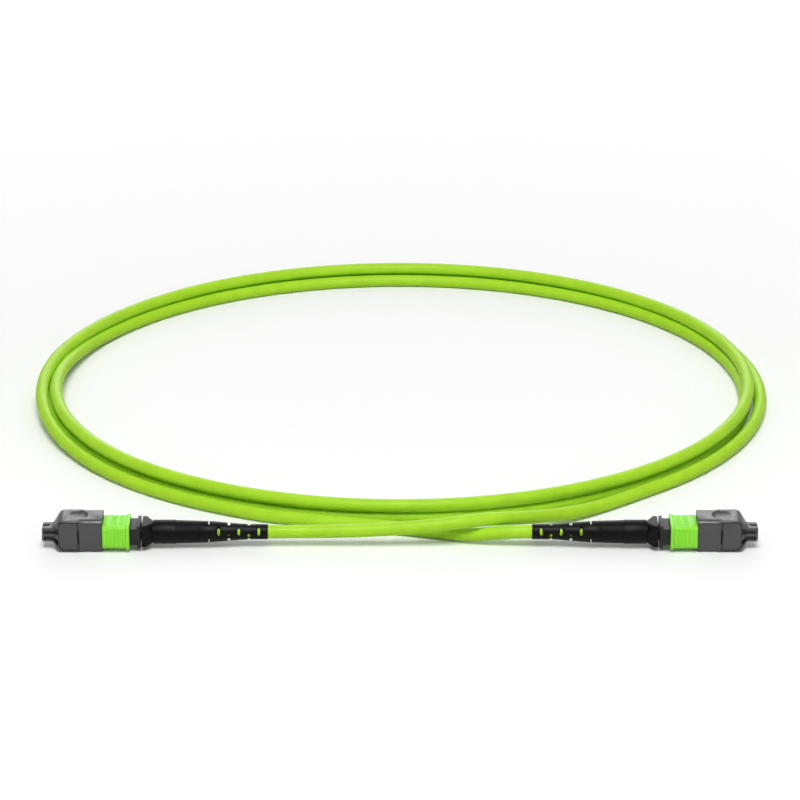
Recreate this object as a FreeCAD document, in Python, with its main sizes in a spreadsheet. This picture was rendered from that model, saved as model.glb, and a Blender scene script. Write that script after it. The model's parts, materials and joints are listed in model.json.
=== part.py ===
import FreeCAD, Part

import math
import os

import Sketcher

# A fibre patch cord: one round cable, laid in a flat coil of three strands, with a multi-fibre push-on
# connector at each end. Millimetres. The origin is on the table, midway between the two connectors on
# their common axis; +X points out of the right-hand connector, +Y towards the coil and +Z up.
# Each connector is drawn once, pointing along +X, and placed twice, the second time turned half round.

SIZES = {
    # a cut that must pass right through reaches this far beyond the surface
    "overcut": 1.0,
    # where the connectors lie
    "axis_height": 5.1,
    "boot_tip_place": 42.2,
    # cable
    "cable_diameter": 4.4,
    "cable_gap": 0.1,
    # boot: a strain relief with a slotted, tapering tail and a square head
    "boot_tail_length": 36.7,
    "boot_base_diameter": 7.7,
    "boot_collar_length": 7.0,
    "boot_collar_step": 0.18,
    "boot_collar_ramp": 0.4,
    "boot_shoulder_diameter": 6.9,
    "boot_shoulder_place": 18.9,
    "boot_neck_diameter": 5.5,
    "boot_neck_place": 6.0,
    "boot_tip_diameter": 5.1,
    "head_width": 9.4,
    "head_height": 7.35,
    "head_length": 1.3,
    "head_taper_length": 1.8,
    "head_taper_width": 7.9,
    "head_taper_height": 6.9,
    "slit_count": 7,
    "thin_slit_count": 2,
    "slit_pitch": 3.2,
    "first_slit_place": 2.9,
    "slit_width": 1.0,
    "slit_reach": 1.25,
    "thin_slit_width": 0.5,
    "thin_slit_reach": 1.9,
    # spring push: the black rear body, with a barrel for the crimp
    "head_gap": 0.5,
    "flange_length": 1.0,
    "flange_height": 7.35,
    "push_width": 10.0,
    "push_height": 5.45,
    "push_corner": 0.5,
    "neck_length": 3.8,
    "insert_length": 3.1,
    "insert_gap": 0.1,
    "barrel_diameter": 5.0,
    "barrel_length": 5.5,
    "push_bore": 3.5,
    "lug_width": 2.8,
    "lug_length": 1.6,
    "lug_place": 1.2,
    "lug_height": 0.5,
    # crimp ring, over the barrel and the end of the cable's jacket
    "ring_wall": 0.5,
    "ring_front_length": 5.0,
    "ring_rear_length": 3.4,
    "ring_gap": 0.05,
    # inner housing
    "housing_width": 9.4,
    "housing_height": 6.0,
    "housing_corner": 0.8,
    "housing_length": 16.6,
    "housing_gap": 0.1,
    "housing_side_wall": 0.9,
    "housing_wide_wall": 0.7,
    "housing_mouth_length": 5.6,
    "key_width": 3.0,
    "key_height": 0.75,
    "key_length": 6.6,
    "key_setback": 0.4,
    "notch_length": 2.4,
    "notch_height": 2.8,
    "notch_depth": 0.5,
    "notch_setback": 5.4,
    # coupling sleeve
    "sleeve_setback": 9.1,
    "sleeve_length": 8.6,
    "sleeve_width": 11.6,
    "sleeve_height": 7.4,
    "sleeve_corner": 0.8,
    "sleeve_gap": 0.4,
    "sleeve_height_gap": 0.1,
    "lip_length": 1.15,
    "lip_rise": 0.4,
    "groove_pitch": 2.45,
    "groove_count": 2,
    "groove_width": 0.3,
    "groove_depth": 0.15,
    "groove_height": 6.2,
    "panel_width": 8.8,
    "panel_length": 6.4,
    "panel_rise": 0.15,
    "panel_corner": 0.5,
    "catch_length": 1.0,
    "catch_height": 1.3,
    "catch_gap": 0.08,
    "catch_root": 0.2,
    # the two springs that push the sleeve forward
    "side_spring_diameter": 0.84,
    "side_wire": 0.18,
    "side_spring_gap": 0.03,
    "side_spring_turns": 6,
    "side_channel_setback": 0.5,
    "channel_rear_wall": 0.76,
    "side_channel_depth": 0.5,
    "side_channel_height": 1.5,
    # ferrule, its boot, the pin keeper and the spring behind them
    "ferrule_width": 6.4,
    "ferrule_height": 2.5,
    "ferrule_length": 8.0,
    "ferrule_stand_out": 0.3,
    "ferrule_gap": 0.1,
    "ferrule_travel": 0.8,
    "shoulder_side_gap": 0.2,
    "shoulder_height": 3.2,
    "guide_hole_diameter": 0.7,
    "guide_hole_spacing": 4.6,
    "window_place": 0.9,
    "window_length": 2.4,
    "window_width": 3.0,
    "window_depth": 0.9,
    "keeper_gap": 0.3,
    "keeper_length": 1.2,
    "ferrule_boot_width": 3.4,
    "ferrule_boot_height": 1.1,
    "ferrule_boot_seat": 1.0,
    "spring_end_gap": 0.05,
    "spring_side_gap": 0.1,
    "spring_wire": 0.42,
    "spring_turns": 4,
    # ribbon of twelve fibres
    "ribbon_width": 3.0,
    "ribbon_thickness": 0.3,
    "ribbon_gap": 0.05,
    # dust cap
    "cap_gap": 0.1,
    "cap_fit": 0.15,
    "cap_end_room": 0.5,
    "cap_rear_length": 7.8,
    "cap_rear_width": 10.7,
    "cap_rear_height": 10.9,
    "cap_rear_corner": 1.1,
    "cap_front_length": 6.5,
    "cap_front_width": 11.2,
    "cap_front_height": 10.3,
    "cap_front_rise": 0.45,
    "cap_front_round": 2.6,
    "cap_turn_setback": 0.1,
    "cap_shoulder_length": 2.0,
    "pad_root": 0.1,
    "pad_margin": 0.35,
    "pad_corner": 1.5,
    "shoulder_rib": 1.7,
    "shoulder_flange": 3.2,
    "nose_length": 3.2,
    "nose_width": 5.9,
    "nose_height": 3.9,
    "nose_rib": 0.84,
    "nose_flange": 0.65,
    "nose_side_depth": 1.1,
    "nose_tip_wall": 0.6,
    "nose_slot_width": 1.5,
    "nose_slot_length": 2.6,
    "nose_slot_depth": 1.2,
    "dimple_radius": 3.4,
    "dimple_depth": 0.35,
    "dimple_place": 7.4,
    # coil of cable
    "coil_centre": 141.5,
    "coil_radius": 127.2,
    "strand_gap": 0.05,
    "table_gap": 1.0,
    "top_strand_lean": 1.6,
    "join_run": 15.0,
}

doc = FreeCAD.newDocument("fibre_patch_cord")
sheet = doc.addObject("Spreadsheet::Sheet", "sizes")
for row, (alias, value) in enumerate(SIZES.items(), start=1):
    sheet.set(f"A{row}", alias)
    sheet.set(f"B{row}", str(value))
    sheet.setAlias(f"B{row}", alias)
doc.recompute()

TURNED = FreeCAD.Placement(FreeCAD.Vector(), FreeCAD.Rotation(FreeCAD.Vector(0, 0, 1), 180))
AS_DRAWN = FreeCAD.Placement()
ALONG_X = FreeCAD.Rotation(FreeCAD.Vector(0, 1, 0), 90)
PIECES = []


def size(alias):
    """A size as a number, for the pieces that Part's own functions make."""
    return float(sheet.get(alias))


# Places along the connector's axis, as expressions on the sheet, from the cable outwards.
BOOT_TIP = "sizes.boot_tip_place"
HEAD_TAPER = f"({BOOT_TIP} + sizes.boot_tail_length)"
HEAD = f"({HEAD_TAPER} + sizes.head_taper_length)"
HEAD_END = f"({HEAD} + sizes.head_length)"
FLANGE = f"({HEAD_END} + sizes.head_gap)"
NECK = f"({FLANGE} + sizes.flange_length)"
INSERT = f"({NECK} + sizes.neck_length)"
INSERT_END = f"({INSERT} + sizes.insert_length)"
BARREL_END = f"({FLANGE} - sizes.barrel_length)"
HOUSING = f"({INSERT} + sizes.housing_gap)"
HOUSING_FRONT = f"({HOUSING} + sizes.housing_length)"
HOUSING_SEAT = f"({HOUSING_FRONT} - sizes.housing_mouth_length)"
CAVITY_WIDTH = "(sizes.housing_width - 2 * sizes.housing_side_wall)"
CAVITY_HEIGHT = "(sizes.housing_height - 2 * sizes.housing_wide_wall)"
SHOULDER_WIDTH = f"({CAVITY_WIDTH} - 2 * sizes.shoulder_side_gap)"
SLEEVE_FRONT = f"({HOUSING_FRONT} - sizes.sleeve_setback)"
SLEEVE = f"({SLEEVE_FRONT} - sizes.sleeve_length)"
CHANNEL_FRONT = f"({SLEEVE_FRONT} - sizes.side_channel_setback)"
CATCH = f"({CHANNEL_FRONT} - sizes.catch_gap - sizes.catch_length)"
CHANNEL_REAR = f"({HOUSING} + sizes.channel_rear_wall)"
SIDE_SPRING_LENGTH = f"({CATCH} - {CHANNEL_REAR} - 2 * sizes.catch_gap)"
FERRULE_FRONT = f"({HOUSING_FRONT} + sizes.ferrule_stand_out)"
FERRULE = f"({FERRULE_FRONT} - sizes.ferrule_length)"
KEEPER = f"({FERRULE} - sizes.keeper_length)"
CAP = f"({SLEEVE_FRONT} + sizes.cap_gap)"
CAP_FRONT = f"({CAP} + sizes.cap_rear_length)"
CAP_SHOULDER = f"({CAP_FRONT} + sizes.cap_front_length)"
NOSE = f"({CAP_SHOULDER} + sizes.cap_shoulder_length)"
NOSE_END = f"({NOSE} + sizes.nose_length)"
NOSE_FLANGE = "(sizes.nose_height / 2 - sizes.nose_flange)"
AXIS = "sizes.axis_height"

RUNS_PER_TURN = 10


def bound(thing, **expressions):
    """Binds properties to expressions; a double underscore stands for a dot in a property's name."""
    for name, expression in expressions.items():
        thing.setExpression(name.replace("__", "."), str(expression))
    return thing


def plane(body, role):
    return next(feature for feature in body.Origin.OriginFeatures if feature.Role == role)


def piece(thing, label, placement=AS_DRAWN):
    """Names a finished sub-part and puts it in its place."""
    thing.Label = label
    thing.Placement = placement
    PIECES.append(thing)
    return thing


def new_body(name):
    return doc.addObject("PartDesign::Body", name)


def new_sketch(body, name, role, along, across="0", above=AXIS):
    """A sketch on one of the body's own planes. On YZ its own x is Y and its own y is Z."""
    sketch = body.newObject("Sketcher::SketchObject", name)
    sketch.AttachmentSupport = (plane(body, role), [""])
    sketch.MapMode = "FlatFace"
    bound(
        sketch,
        AttachmentOffset__Base__x=across,
        AttachmentOffset__Base__y=above,
        AttachmentOffset__Base__z=along,
    )
    return sketch


def named_size(sketch, constraint, name, expression):
    index = sketch.addConstraint(constraint)
    sketch.renameConstraint(index, name)
    sketch.setExpression(f"Constraints.{name}", str(expression))


def rectangle(sketch, wide, tall):
    """A rectangle centred on the sketch's origin."""
    corners = [FreeCAD.Vector(x, y) for x, y in ((-1, -1), (1, -1), (1, 1), (-1, 1))]
    for start, end in zip(corners, corners[1:] + corners[:1]):
        sketch.addGeometry(Part.LineSegment(start, end))
    for side in range(4):
        sketch.addConstraint(Sketcher.Constraint("Coincident", side, 2, (side + 1) % 4, 1))
        sketch.addConstraint(Sketcher.Constraint(("Horizontal", "Vertical")[side % 2], side))
    sketch.addConstraint(Sketcher.Constraint("Symmetric", 0, 1, 2, 1, -1, 1))
    named_size(sketch, Sketcher.Constraint("DistanceX", 0, 1, 0, 2, 2), "wide", wide)
    named_size(sketch, Sketcher.Constraint("DistanceY", 1, 1, 1, 2, 2), "tall", tall)


def rounded_rectangle(sketch, wide, tall, corner):
    """A rectangle with round corners, centred on the sketch's origin."""
    ways = ((0, -1), (1, 0), (0, 1), (-1, 0))
    for x, y in ways:
        middle = FreeCAD.Vector(2 * x, 2 * y)
        along = FreeCAD.Vector(-y, x)
        sketch.addGeometry(Part.LineSegment(middle - along, middle + along))
    for quarter in range(4):
        angle = math.pi / 2 * (quarter - 1)
        x, y = ((1, -1), (1, 1), (-1, 1), (-1, -1))[quarter]
        circle = Part.Circle(FreeCAD.Vector(x, y), FreeCAD.Vector(0, 0, 1), 1)
        sketch.addGeometry(Part.ArcOfCircle(circle, angle, angle + math.pi / 2))
    for side in range(4):
        sketch.addConstraint(Sketcher.Constraint(("Horizontal", "Vertical")[side % 2], side))
        sketch.addConstraint(Sketcher.Constraint("Tangent", side, 2, side + 4, 1))
        sketch.addConstraint(Sketcher.Constraint("Tangent", side + 4, 2, (side + 1) % 4, 1))
    for quarter in range(4, 7):
        sketch.addConstraint(Sketcher.Constraint("Equal", quarter, quarter + 1))
    sketch.addConstraint(Sketcher.Constraint("Symmetric", 4, 3, 6, 3, -1, 1))
    named_size(sketch, Sketcher.Constraint("DistanceX", 3, 1, 1, 1, 4), "wide", wide)
    named_size(sketch, Sketcher.Constraint("DistanceY", 0, 1, 2, 1, 4), "tall", tall)
    named_size(sketch, Sketcher.Constraint("Radius", 4, 1), "corner", corner)


def section(body, name, along, wide, tall, corner=None, across="0", above=AXIS):
    """A section across the connector: a rectangle, with round corners if a corner is given."""
    sketch = new_sketch(body, name, "YZ_Plane", along, across, above)
    if corner is None:
        rectangle(sketch, wide, tall)
    else:
        rounded_rectangle(sketch, wide, tall, corner)
    return sketch


def pad(body, sketch, length, reversed_way=False):
    feature = body.newObject("PartDesign::Pad", f"{sketch.Name}_pad")
    feature.Profile = sketch
    feature.Reversed = reversed_way
    bound(feature, Length=length)
    return feature


def pocket(body, sketch, length, reversed_way=True, both_ways=False):
    """Cuts the sketch out of the body along its normal, which for YZ sketches is +X; the cut's volume is
    compared with the body's, so a pocket that points away from the solid stops the build."""
    doc.recompute()
    before = body.Shape.Volume
    feature = body.newObject("PartDesign::Pocket", f"{sketch.Name}_cut")
    feature.Profile = sketch
    feature.Reversed = reversed_way
    feature.Midplane = both_ways
    bound(feature, Length=length)
    doc.recompute()
    if body.Shape.Volume > before - 1e-6:
        raise RuntimeError(f"{feature.Name} cuts nothing")
    return feature


def edges_at(shape, test):
    return [f"Edge{i}" for i, edge in enumerate(shape.Edges, start=1) if test(edge)]


def rounded(body, base, radius, test):
    """Rounds the edges of a feature that pass the test."""
    doc.recompute()
    feature = body.newObject("PartDesign::Fillet", f"{base.Name}_round")
    feature.Base = (base, edges_at(base.Shape, test))
    bound(feature, Radius=radius)
    return feature


def value_of(expression):
    """The value that an expression has now."""
    return float(sheet.evalExpression(expression))


def on_station(expression):
    """A test for edges that lie wholly at one place along the axis."""
    place = value_of(expression)
    return lambda edge: abs(edge.BoundBox.XMin - place) < 1e-4 and abs(edge.BoundBox.XMax - place) < 1e-4


def outline(body, name, points, above, role="XZ_Plane", aside="0"):
    """A closed outline of straight lines: each point is a pair of expressions, the place along X and the
    distance across from the sketch's origin, which is upwards in the XZ plane."""
    sketch = new_sketch(body, name, role, aside, above=above)
    count = len(points)
    numbers = [FreeCAD.Vector(value_of(along), value_of(up)) for along, up in points]
    for index in range(count):
        sketch.addGeometry(Part.LineSegment(numbers[index], numbers[(index + 1) % count]))
    for index in range(count):
        sketch.addConstraint(Sketcher.Constraint("Coincident", index, 2, (index + 1) % count, 1))
    for index, (along, up) in enumerate(points):
        across, high = numbers[index].x, numbers[index].y
        named_size(sketch, Sketcher.Constraint("DistanceX", index, 1, across), f"along{index}", along)
        named_size(sketch, Sketcher.Constraint("DistanceY", index, 1, high), f"up{index}", up)
    return sketch


def profile(body, name, points):
    """An outline for turning about the connector's axis: places along it, and the diameters there."""
    return outline(body, name, [(along, f"({across} / 2)") for along, across in points], AXIS)


def turned_body(body, sketch):
    feature = body.newObject("PartDesign::Revolution", f"{sketch.Name}_turned")
    feature.Profile = sketch
    feature.ReferenceAxis = (sketch, ["H_Axis"])
    feature.Angle = 360
    return feature


def boot(side, placement):
    """Rubber strain relief: a square head that tapers to a round, slotted tail."""
    body = new_body(f"{side}_boot_body")
    bore = "(sizes.cable_diameter + 2 * sizes.cable_gap)"
    rear_bore = f"(sizes.cable_diameter + 2 * sizes.ring_gap + 2 * sizes.ring_wall + 2 * sizes.cable_gap)"
    front_bore = "(sizes.barrel_diameter + 2 * sizes.ring_gap + 2 * sizes.ring_wall + 2 * sizes.cable_gap)"
    tail = profile(
        body,
        f"{side}_boot_outline",
        [
            (BOOT_TIP, bore),
            (BOOT_TIP, "sizes.boot_tip_diameter"),
            (f"({BOOT_TIP} + sizes.boot_neck_place)", "sizes.boot_neck_diameter"),
            (f"({BOOT_TIP} + sizes.boot_shoulder_place)", "sizes.boot_shoulder_diameter"),
            (
                f"({HEAD_TAPER} - sizes.boot_collar_length - sizes.boot_collar_ramp)",
                "(sizes.boot_base_diameter - 2 * sizes.boot_collar_step)",
            ),
            (f"({HEAD_TAPER} - sizes.boot_collar_length)", "sizes.boot_base_diameter"),
            (HEAD_TAPER, "sizes.boot_base_diameter"),
            (HEAD_TAPER, bore),
        ],
    )
    turned_body(body, tail)
    small = section(
        body, f"{side}_head_small", HEAD_TAPER, "sizes.head_taper_width", "sizes.head_taper_height"
    )
    large = section(body, f"{side}_head_large", HEAD, "sizes.head_width", "sizes.head_height")
    loft = body.newObject("PartDesign::AdditiveLoft", f"{side}_head_taper")
    loft.Profile = small
    loft.Sections = [large]
    loft.Ruled = True
    head = section(body, f"{side}_head", HEAD, "sizes.head_width", "sizes.head_height")
    pad(body, head, "sizes.head_length")
    seat = f"({BARREL_END} - sizes.ring_rear_length - sizes.cable_gap)"
    hollow = profile(
        body,
        f"{side}_boot_hollow",
        [
            (seat, "0"),
            (seat, rear_bore),
            (f"({BARREL_END} - sizes.cable_gap)", rear_bore),
            (f"({BARREL_END} - sizes.cable_gap)", front_bore),
            (f"({HEAD_END} + sizes.overcut)", front_bore),
            (f"({HEAD_END} + sizes.overcut)", "0"),
        ],
    )
    groove = body.newObject("PartDesign::Groove", f"{side}_boot_bored")
    groove.Profile = hollow
    groove.ReferenceAxis = (hollow, ["H_Axis"])
    groove.Angle = 360
    last = cut_slits(body, side)
    body.Tip = last
    piece(body, f"{side}_boot", placement)


def cut_slits(body, side):
    """Slits through the tail's wall, in turn through the sides and through the top and bottom. Those
    nearest the base are thin."""
    last = None
    count = int(size("slit_count"))
    for number in range(count):
        thin = number >= count - int(size("thin_slit_count"))
        wide = "sizes.thin_slit_width" if thin else "sizes.slit_width"
        reach = "sizes.thin_slit_reach" if thin else "sizes.slit_reach"
        place = f"({BOOT_TIP} + sizes.first_slit_place + {number} * sizes.slit_pitch)"
        through_sides = number % 2 == 0
        role = "XZ_Plane" if through_sides else "XY_Plane"
        sketch = body.newObject("Sketcher::SketchObject", f"{side}_slit{number}")
        sketch.AttachmentSupport = (plane(body, role), [""])
        sketch.MapMode = "FlatFace"
        bound(sketch, AttachmentOffset__Base__x=place)
        if through_sides:
            bound(sketch, AttachmentOffset__Base__y=AXIS)
        else:
            bound(sketch, AttachmentOffset__Base__z=AXIS)
        rectangle(sketch, wide, f"(2 * {reach})")
        last = pocket(body, sketch, "(2 * sizes.boot_base_diameter)", False, True)
    return last


def crimp_ring(side, placement):
    """Stepped metal ring: its front half grips the barrel and its rear half the cable's jacket."""
    body = new_body(f"{side}_crimp_ring_body")
    rear_bore = "(sizes.cable_diameter + 2 * sizes.ring_gap)"
    front_bore = "(sizes.barrel_diameter + 2 * sizes.ring_gap)"
    rear = f"({BARREL_END} - sizes.ring_rear_length)"
    front = f"({BARREL_END} + sizes.ring_front_length)"
    ring = profile(
        body,
        f"{side}_ring_outline",
        [
            (rear, rear_bore),
            (rear, f"({rear_bore} + 2 * sizes.ring_wall)"),
            (BARREL_END, f"({rear_bore} + 2 * sizes.ring_wall)"),
            (BARREL_END, f"({front_bore} + 2 * sizes.ring_wall)"),
            (front, f"({front_bore} + 2 * sizes.ring_wall)"),
            (front, front_bore),
            (BARREL_END, front_bore),
            (BARREL_END, rear_bore),
        ],
    )
    turned_body(body, ring)
    piece(body, f"{side}_crimp_ring", placement)


def spring_push(side, placement):
    """Black rear body: a barrel for the crimp, a flange, a neck, and an insert that latches into the
    inner housing and backs the ferrule's spring."""
    body = new_body(f"{side}_spring_push_body")
    flange = section(
        body, f"{side}_flange", FLANGE, "sizes.push_width", "sizes.flange_height", "sizes.push_corner"
    )
    pad(body, flange, "sizes.flange_length")
    neck = section(body, f"{side}_neck", NECK, "sizes.push_width", "sizes.push_height", "sizes.push_corner")
    pad(body, neck, "sizes.neck_length")
    insert = section(
        body,
        f"{side}_insert",
        INSERT,
        f"({CAVITY_WIDTH} - 2 * sizes.insert_gap)",
        f"({CAVITY_HEIGHT} - 2 * sizes.insert_gap)",
    )
    pad(body, insert, "sizes.insert_length")
    lugs = section(
        body,
        f"{side}_lugs",
        f"({INSERT} + sizes.lug_place)",
        "sizes.lug_width",
        f"({CAVITY_HEIGHT} - 2 * sizes.insert_gap + 2 * sizes.lug_height)",
    )
    pad(body, lugs, "sizes.lug_length")
    barrel = new_sketch(body, f"{side}_barrel", "YZ_Plane", BARREL_END)
    barrel.addGeometry(Part.Circle(FreeCAD.Vector(), FreeCAD.Vector(0, 0, 1), 2))
    barrel.addConstraint(Sketcher.Constraint("Coincident", 0, 3, -1, 1))
    named_size(barrel, Sketcher.Constraint("Diameter", 0, 4), "across", "sizes.barrel_diameter")
    pad(body, barrel, "sizes.barrel_length")
    bore = new_sketch(body, f"{side}_push_bore", "YZ_Plane", BARREL_END)
    bore.addGeometry(Part.Circle(FreeCAD.Vector(), FreeCAD.Vector(0, 0, 1), 2))
    bore.addConstraint(Sketcher.Constraint("Coincident", 0, 3, -1, 1))
    named_size(bore, Sketcher.Constraint("Diameter", 0, 4), "across", "sizes.push_bore")
    pocket(body, bore, f"({INSERT_END} - {BARREL_END})")
    piece(body, f"{side}_spring_push", placement)


def inner_housing(side, placement):
    """The plug's core: a keyed shell with side channels for the sleeve's springs, latch notches, latch
    windows for the spring push and a stepped hollow for the ferrule."""
    body = new_body(f"{side}_inner_housing_body")
    shell = section(
        body,
        f"{side}_shell",
        HOUSING,
        "sizes.housing_width",
        "sizes.housing_height",
        "sizes.housing_corner",
    )
    pad(body, shell, "sizes.housing_length")
    key = section(
        body,
        f"{side}_key",
        f"({HOUSING_FRONT} - sizes.key_setback)",
        "sizes.key_width",
        "(2 * sizes.key_height)",
        above=f"({AXIS} + sizes.housing_height / 2)",
    )
    pad(body, key, "sizes.key_length", True)
    cavity = section(
        body,
        f"{side}_cavity",
        HOUSING,
        CAVITY_WIDTH,
        CAVITY_HEIGHT,
    )
    pocket(body, cavity, f"({HOUSING_SEAT} - {HOUSING})")
    mouth = section(
        body,
        f"{side}_mouth",
        HOUSING,
        "(sizes.ferrule_width + 2 * sizes.ferrule_gap)",
        "(sizes.ferrule_height + 2 * sizes.ferrule_gap)",
    )
    pocket(body, mouth, "(sizes.housing_length + sizes.overcut)")
    for hand, way in (("near", "-1"), ("far", "1")):
        channel = section(
            body,
            f"{side}_channel_{hand}",
            CHANNEL_REAR,
            "(2 * sizes.side_channel_depth)",
            "sizes.side_channel_height",
            across=f"({way} * sizes.housing_width / 2)",
        )
        pocket(body, channel, f"({CHANNEL_FRONT} - {CHANNEL_REAR})")
        notch = section(
            body,
            f"{side}_notch_{hand}",
            f"({HOUSING_FRONT} - sizes.notch_setback - sizes.notch_length)",
            "(2 * sizes.notch_depth)",
            "sizes.notch_height",
            across=f"({way} * sizes.housing_width / 2)",
        )
        pocket(body, notch, "sizes.notch_length")
    windows = section(
        body,
        f"{side}_latch_windows",
        f"({INSERT} + sizes.lug_place - sizes.insert_gap)",
        "(sizes.lug_width + 2 * sizes.insert_gap)",
        "(sizes.housing_height + sizes.overcut)",
    )
    last = pocket(body, windows, "(sizes.lug_length + 2 * sizes.insert_gap)")
    body.Tip = last
    piece(body, f"{side}_inner_housing", placement)


def coupling_sleeve(side, placement):
    """Coloured outer sleeve: it slides back on the housing to let the plug out of its adapter. It has a
    lip at the rear, grip grooves on its narrow sides and a raised panel on each wide face."""
    body = new_body(f"{side}_coupling_sleeve_body")
    outer = section(
        body,
        f"{side}_sleeve",
        SLEEVE,
        "sizes.sleeve_width",
        "sizes.sleeve_height",
        "sizes.sleeve_corner",
    )
    pad(body, outer, "sizes.sleeve_length")
    lip = section(
        body,
        f"{side}_lip",
        SLEEVE,
        "(sizes.sleeve_width + 2 * sizes.lip_rise)",
        "(sizes.sleeve_height + 2 * sizes.lip_rise)",
        "(sizes.sleeve_corner + sizes.lip_rise)",
    )
    pad(body, lip, "sizes.lip_length")
    panel = section(
        body,
        f"{side}_panel",
        f"({SLEEVE} + sizes.lip_length)",
        "sizes.panel_width",
        "(sizes.sleeve_height + 2 * sizes.panel_rise)",
        "sizes.panel_rise",
    )
    pad(body, panel, "sizes.panel_length")
    inside = section(
        body,
        f"{side}_sleeve_bore",
        SLEEVE,
        "(sizes.housing_width + 2 * sizes.sleeve_gap)",
        "(sizes.housing_height + 2 * sizes.sleeve_height_gap)",
        "(sizes.housing_corner)",
    )
    pocket(body, inside, "sizes.sleeve_length")
    wall = "(sizes.housing_width / 2 + sizes.sleeve_gap)"
    reach = "(sizes.side_channel_depth + sizes.sleeve_gap - sizes.catch_gap + sizes.catch_root)"
    for hand, way in (("near", "-1"), ("far", "1")):
        catch = section(
            body,
            f"{side}_catch_{hand}",
            CATCH,
            reach,
            "sizes.catch_height",
            across=f"({way} * ({wall} + sizes.catch_root - {reach} / 2))",
        )
        pad(body, catch, "sizes.catch_length")
    last = None
    for hand, way in (("near", "-1"), ("far", "1")):
        groove = section(
            body,
            f"{side}_groove_{hand}",
            f"({SLEEVE} + sizes.lip_length + sizes.groove_pitch - sizes.groove_width)",
            "(2 * sizes.groove_depth)",
            "sizes.groove_height",
            across=f"({way} * sizes.sleeve_width / 2)",
        )
        cut = pocket(body, groove, "sizes.groove_width")
        rows = body.newObject("PartDesign::LinearPattern", f"{side}_grooves_{hand}")
        rows.Originals = [cut]
        rows.Direction = (plane(body, "X_Axis"), [""])
        bound(
            rows,
            Length="((sizes.groove_count - 1) * sizes.groove_pitch)",
            Occurrences="sizes.groove_count",
        )
        body.Tip = rows
        last = rows
    body.Tip = last
    piece(body, f"{side}_coupling_sleeve", placement)


def coil_spring(name, along, across, length, diameter, wire, turns, placement):
    """A compression spring along the connector's axis: square wire in short straight runs, which keeps
    the small spring light."""
    thick, radius = value_of(wire), value_of(f"({diameter} - {wire}) / 2")
    high = value_of(f"({length} - {wire})")
    count = RUNS_PER_TURN * int(value_of(turns))
    start = FreeCAD.Vector(value_of(f"({along} + {wire} / 2)"), value_of(across), value_of(AXIS))
    points = []
    for number in range(count + 1):
        angle = 2 * math.pi * number / RUNS_PER_TURN
        rise = high * number / count
        points.append(start + FreeCAD.Vector(rise, radius * math.sin(angle), radius * math.cos(angle)))
    along_wire = points[1] - points[0]
    outward = FreeCAD.Vector(0, 0, 1)
    beside = along_wire.cross(outward).normalize() * (thick / 2)
    outward = beside.cross(along_wire).normalize() * (thick / 2)
    corners = [points[0] + beside * a + outward * b for a, b in ((-1, -1), (1, -1), (1, 1), (-1, 1))]
    square = Part.makePolygon(corners + corners[:1])
    coil = doc.addObject("Part::Feature", f"{name}_wire")
    coil.Shape = Part.makePolygon(points).makePipeShell([square], True, False, 1)
    return piece(coil, name, placement)


def springs(side, placement):
    """The ferrule's spring and the two that push the sleeve forward."""
    coil_spring(
        f"{side}_ferrule_spring",
        f"({INSERT_END} + sizes.spring_end_gap)",
        "0",
        f"({KEEPER} - {INSERT_END} - 4 * sizes.spring_end_gap)",
        f"({CAVITY_HEIGHT} - 2 * sizes.spring_side_gap)",
        "sizes.spring_wire",
        "sizes.spring_turns",
        placement,
    )
    floor = "(sizes.housing_width / 2 - sizes.side_channel_depth)"
    beside = f"({floor} + sizes.side_spring_diameter / 2 + sizes.side_spring_gap)"
    for hand, way in (("near", "-1"), ("far", "1")):
        coil_spring(
            f"{side}_sleeve_spring_{hand}",
            f"({CHANNEL_REAR} + sizes.catch_gap)",
            f"({way} * {beside})",
            SIDE_SPRING_LENGTH,
            "sizes.side_spring_diameter",
            "sizes.side_wire",
            "sizes.side_spring_turns",
            placement,
        )


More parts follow.
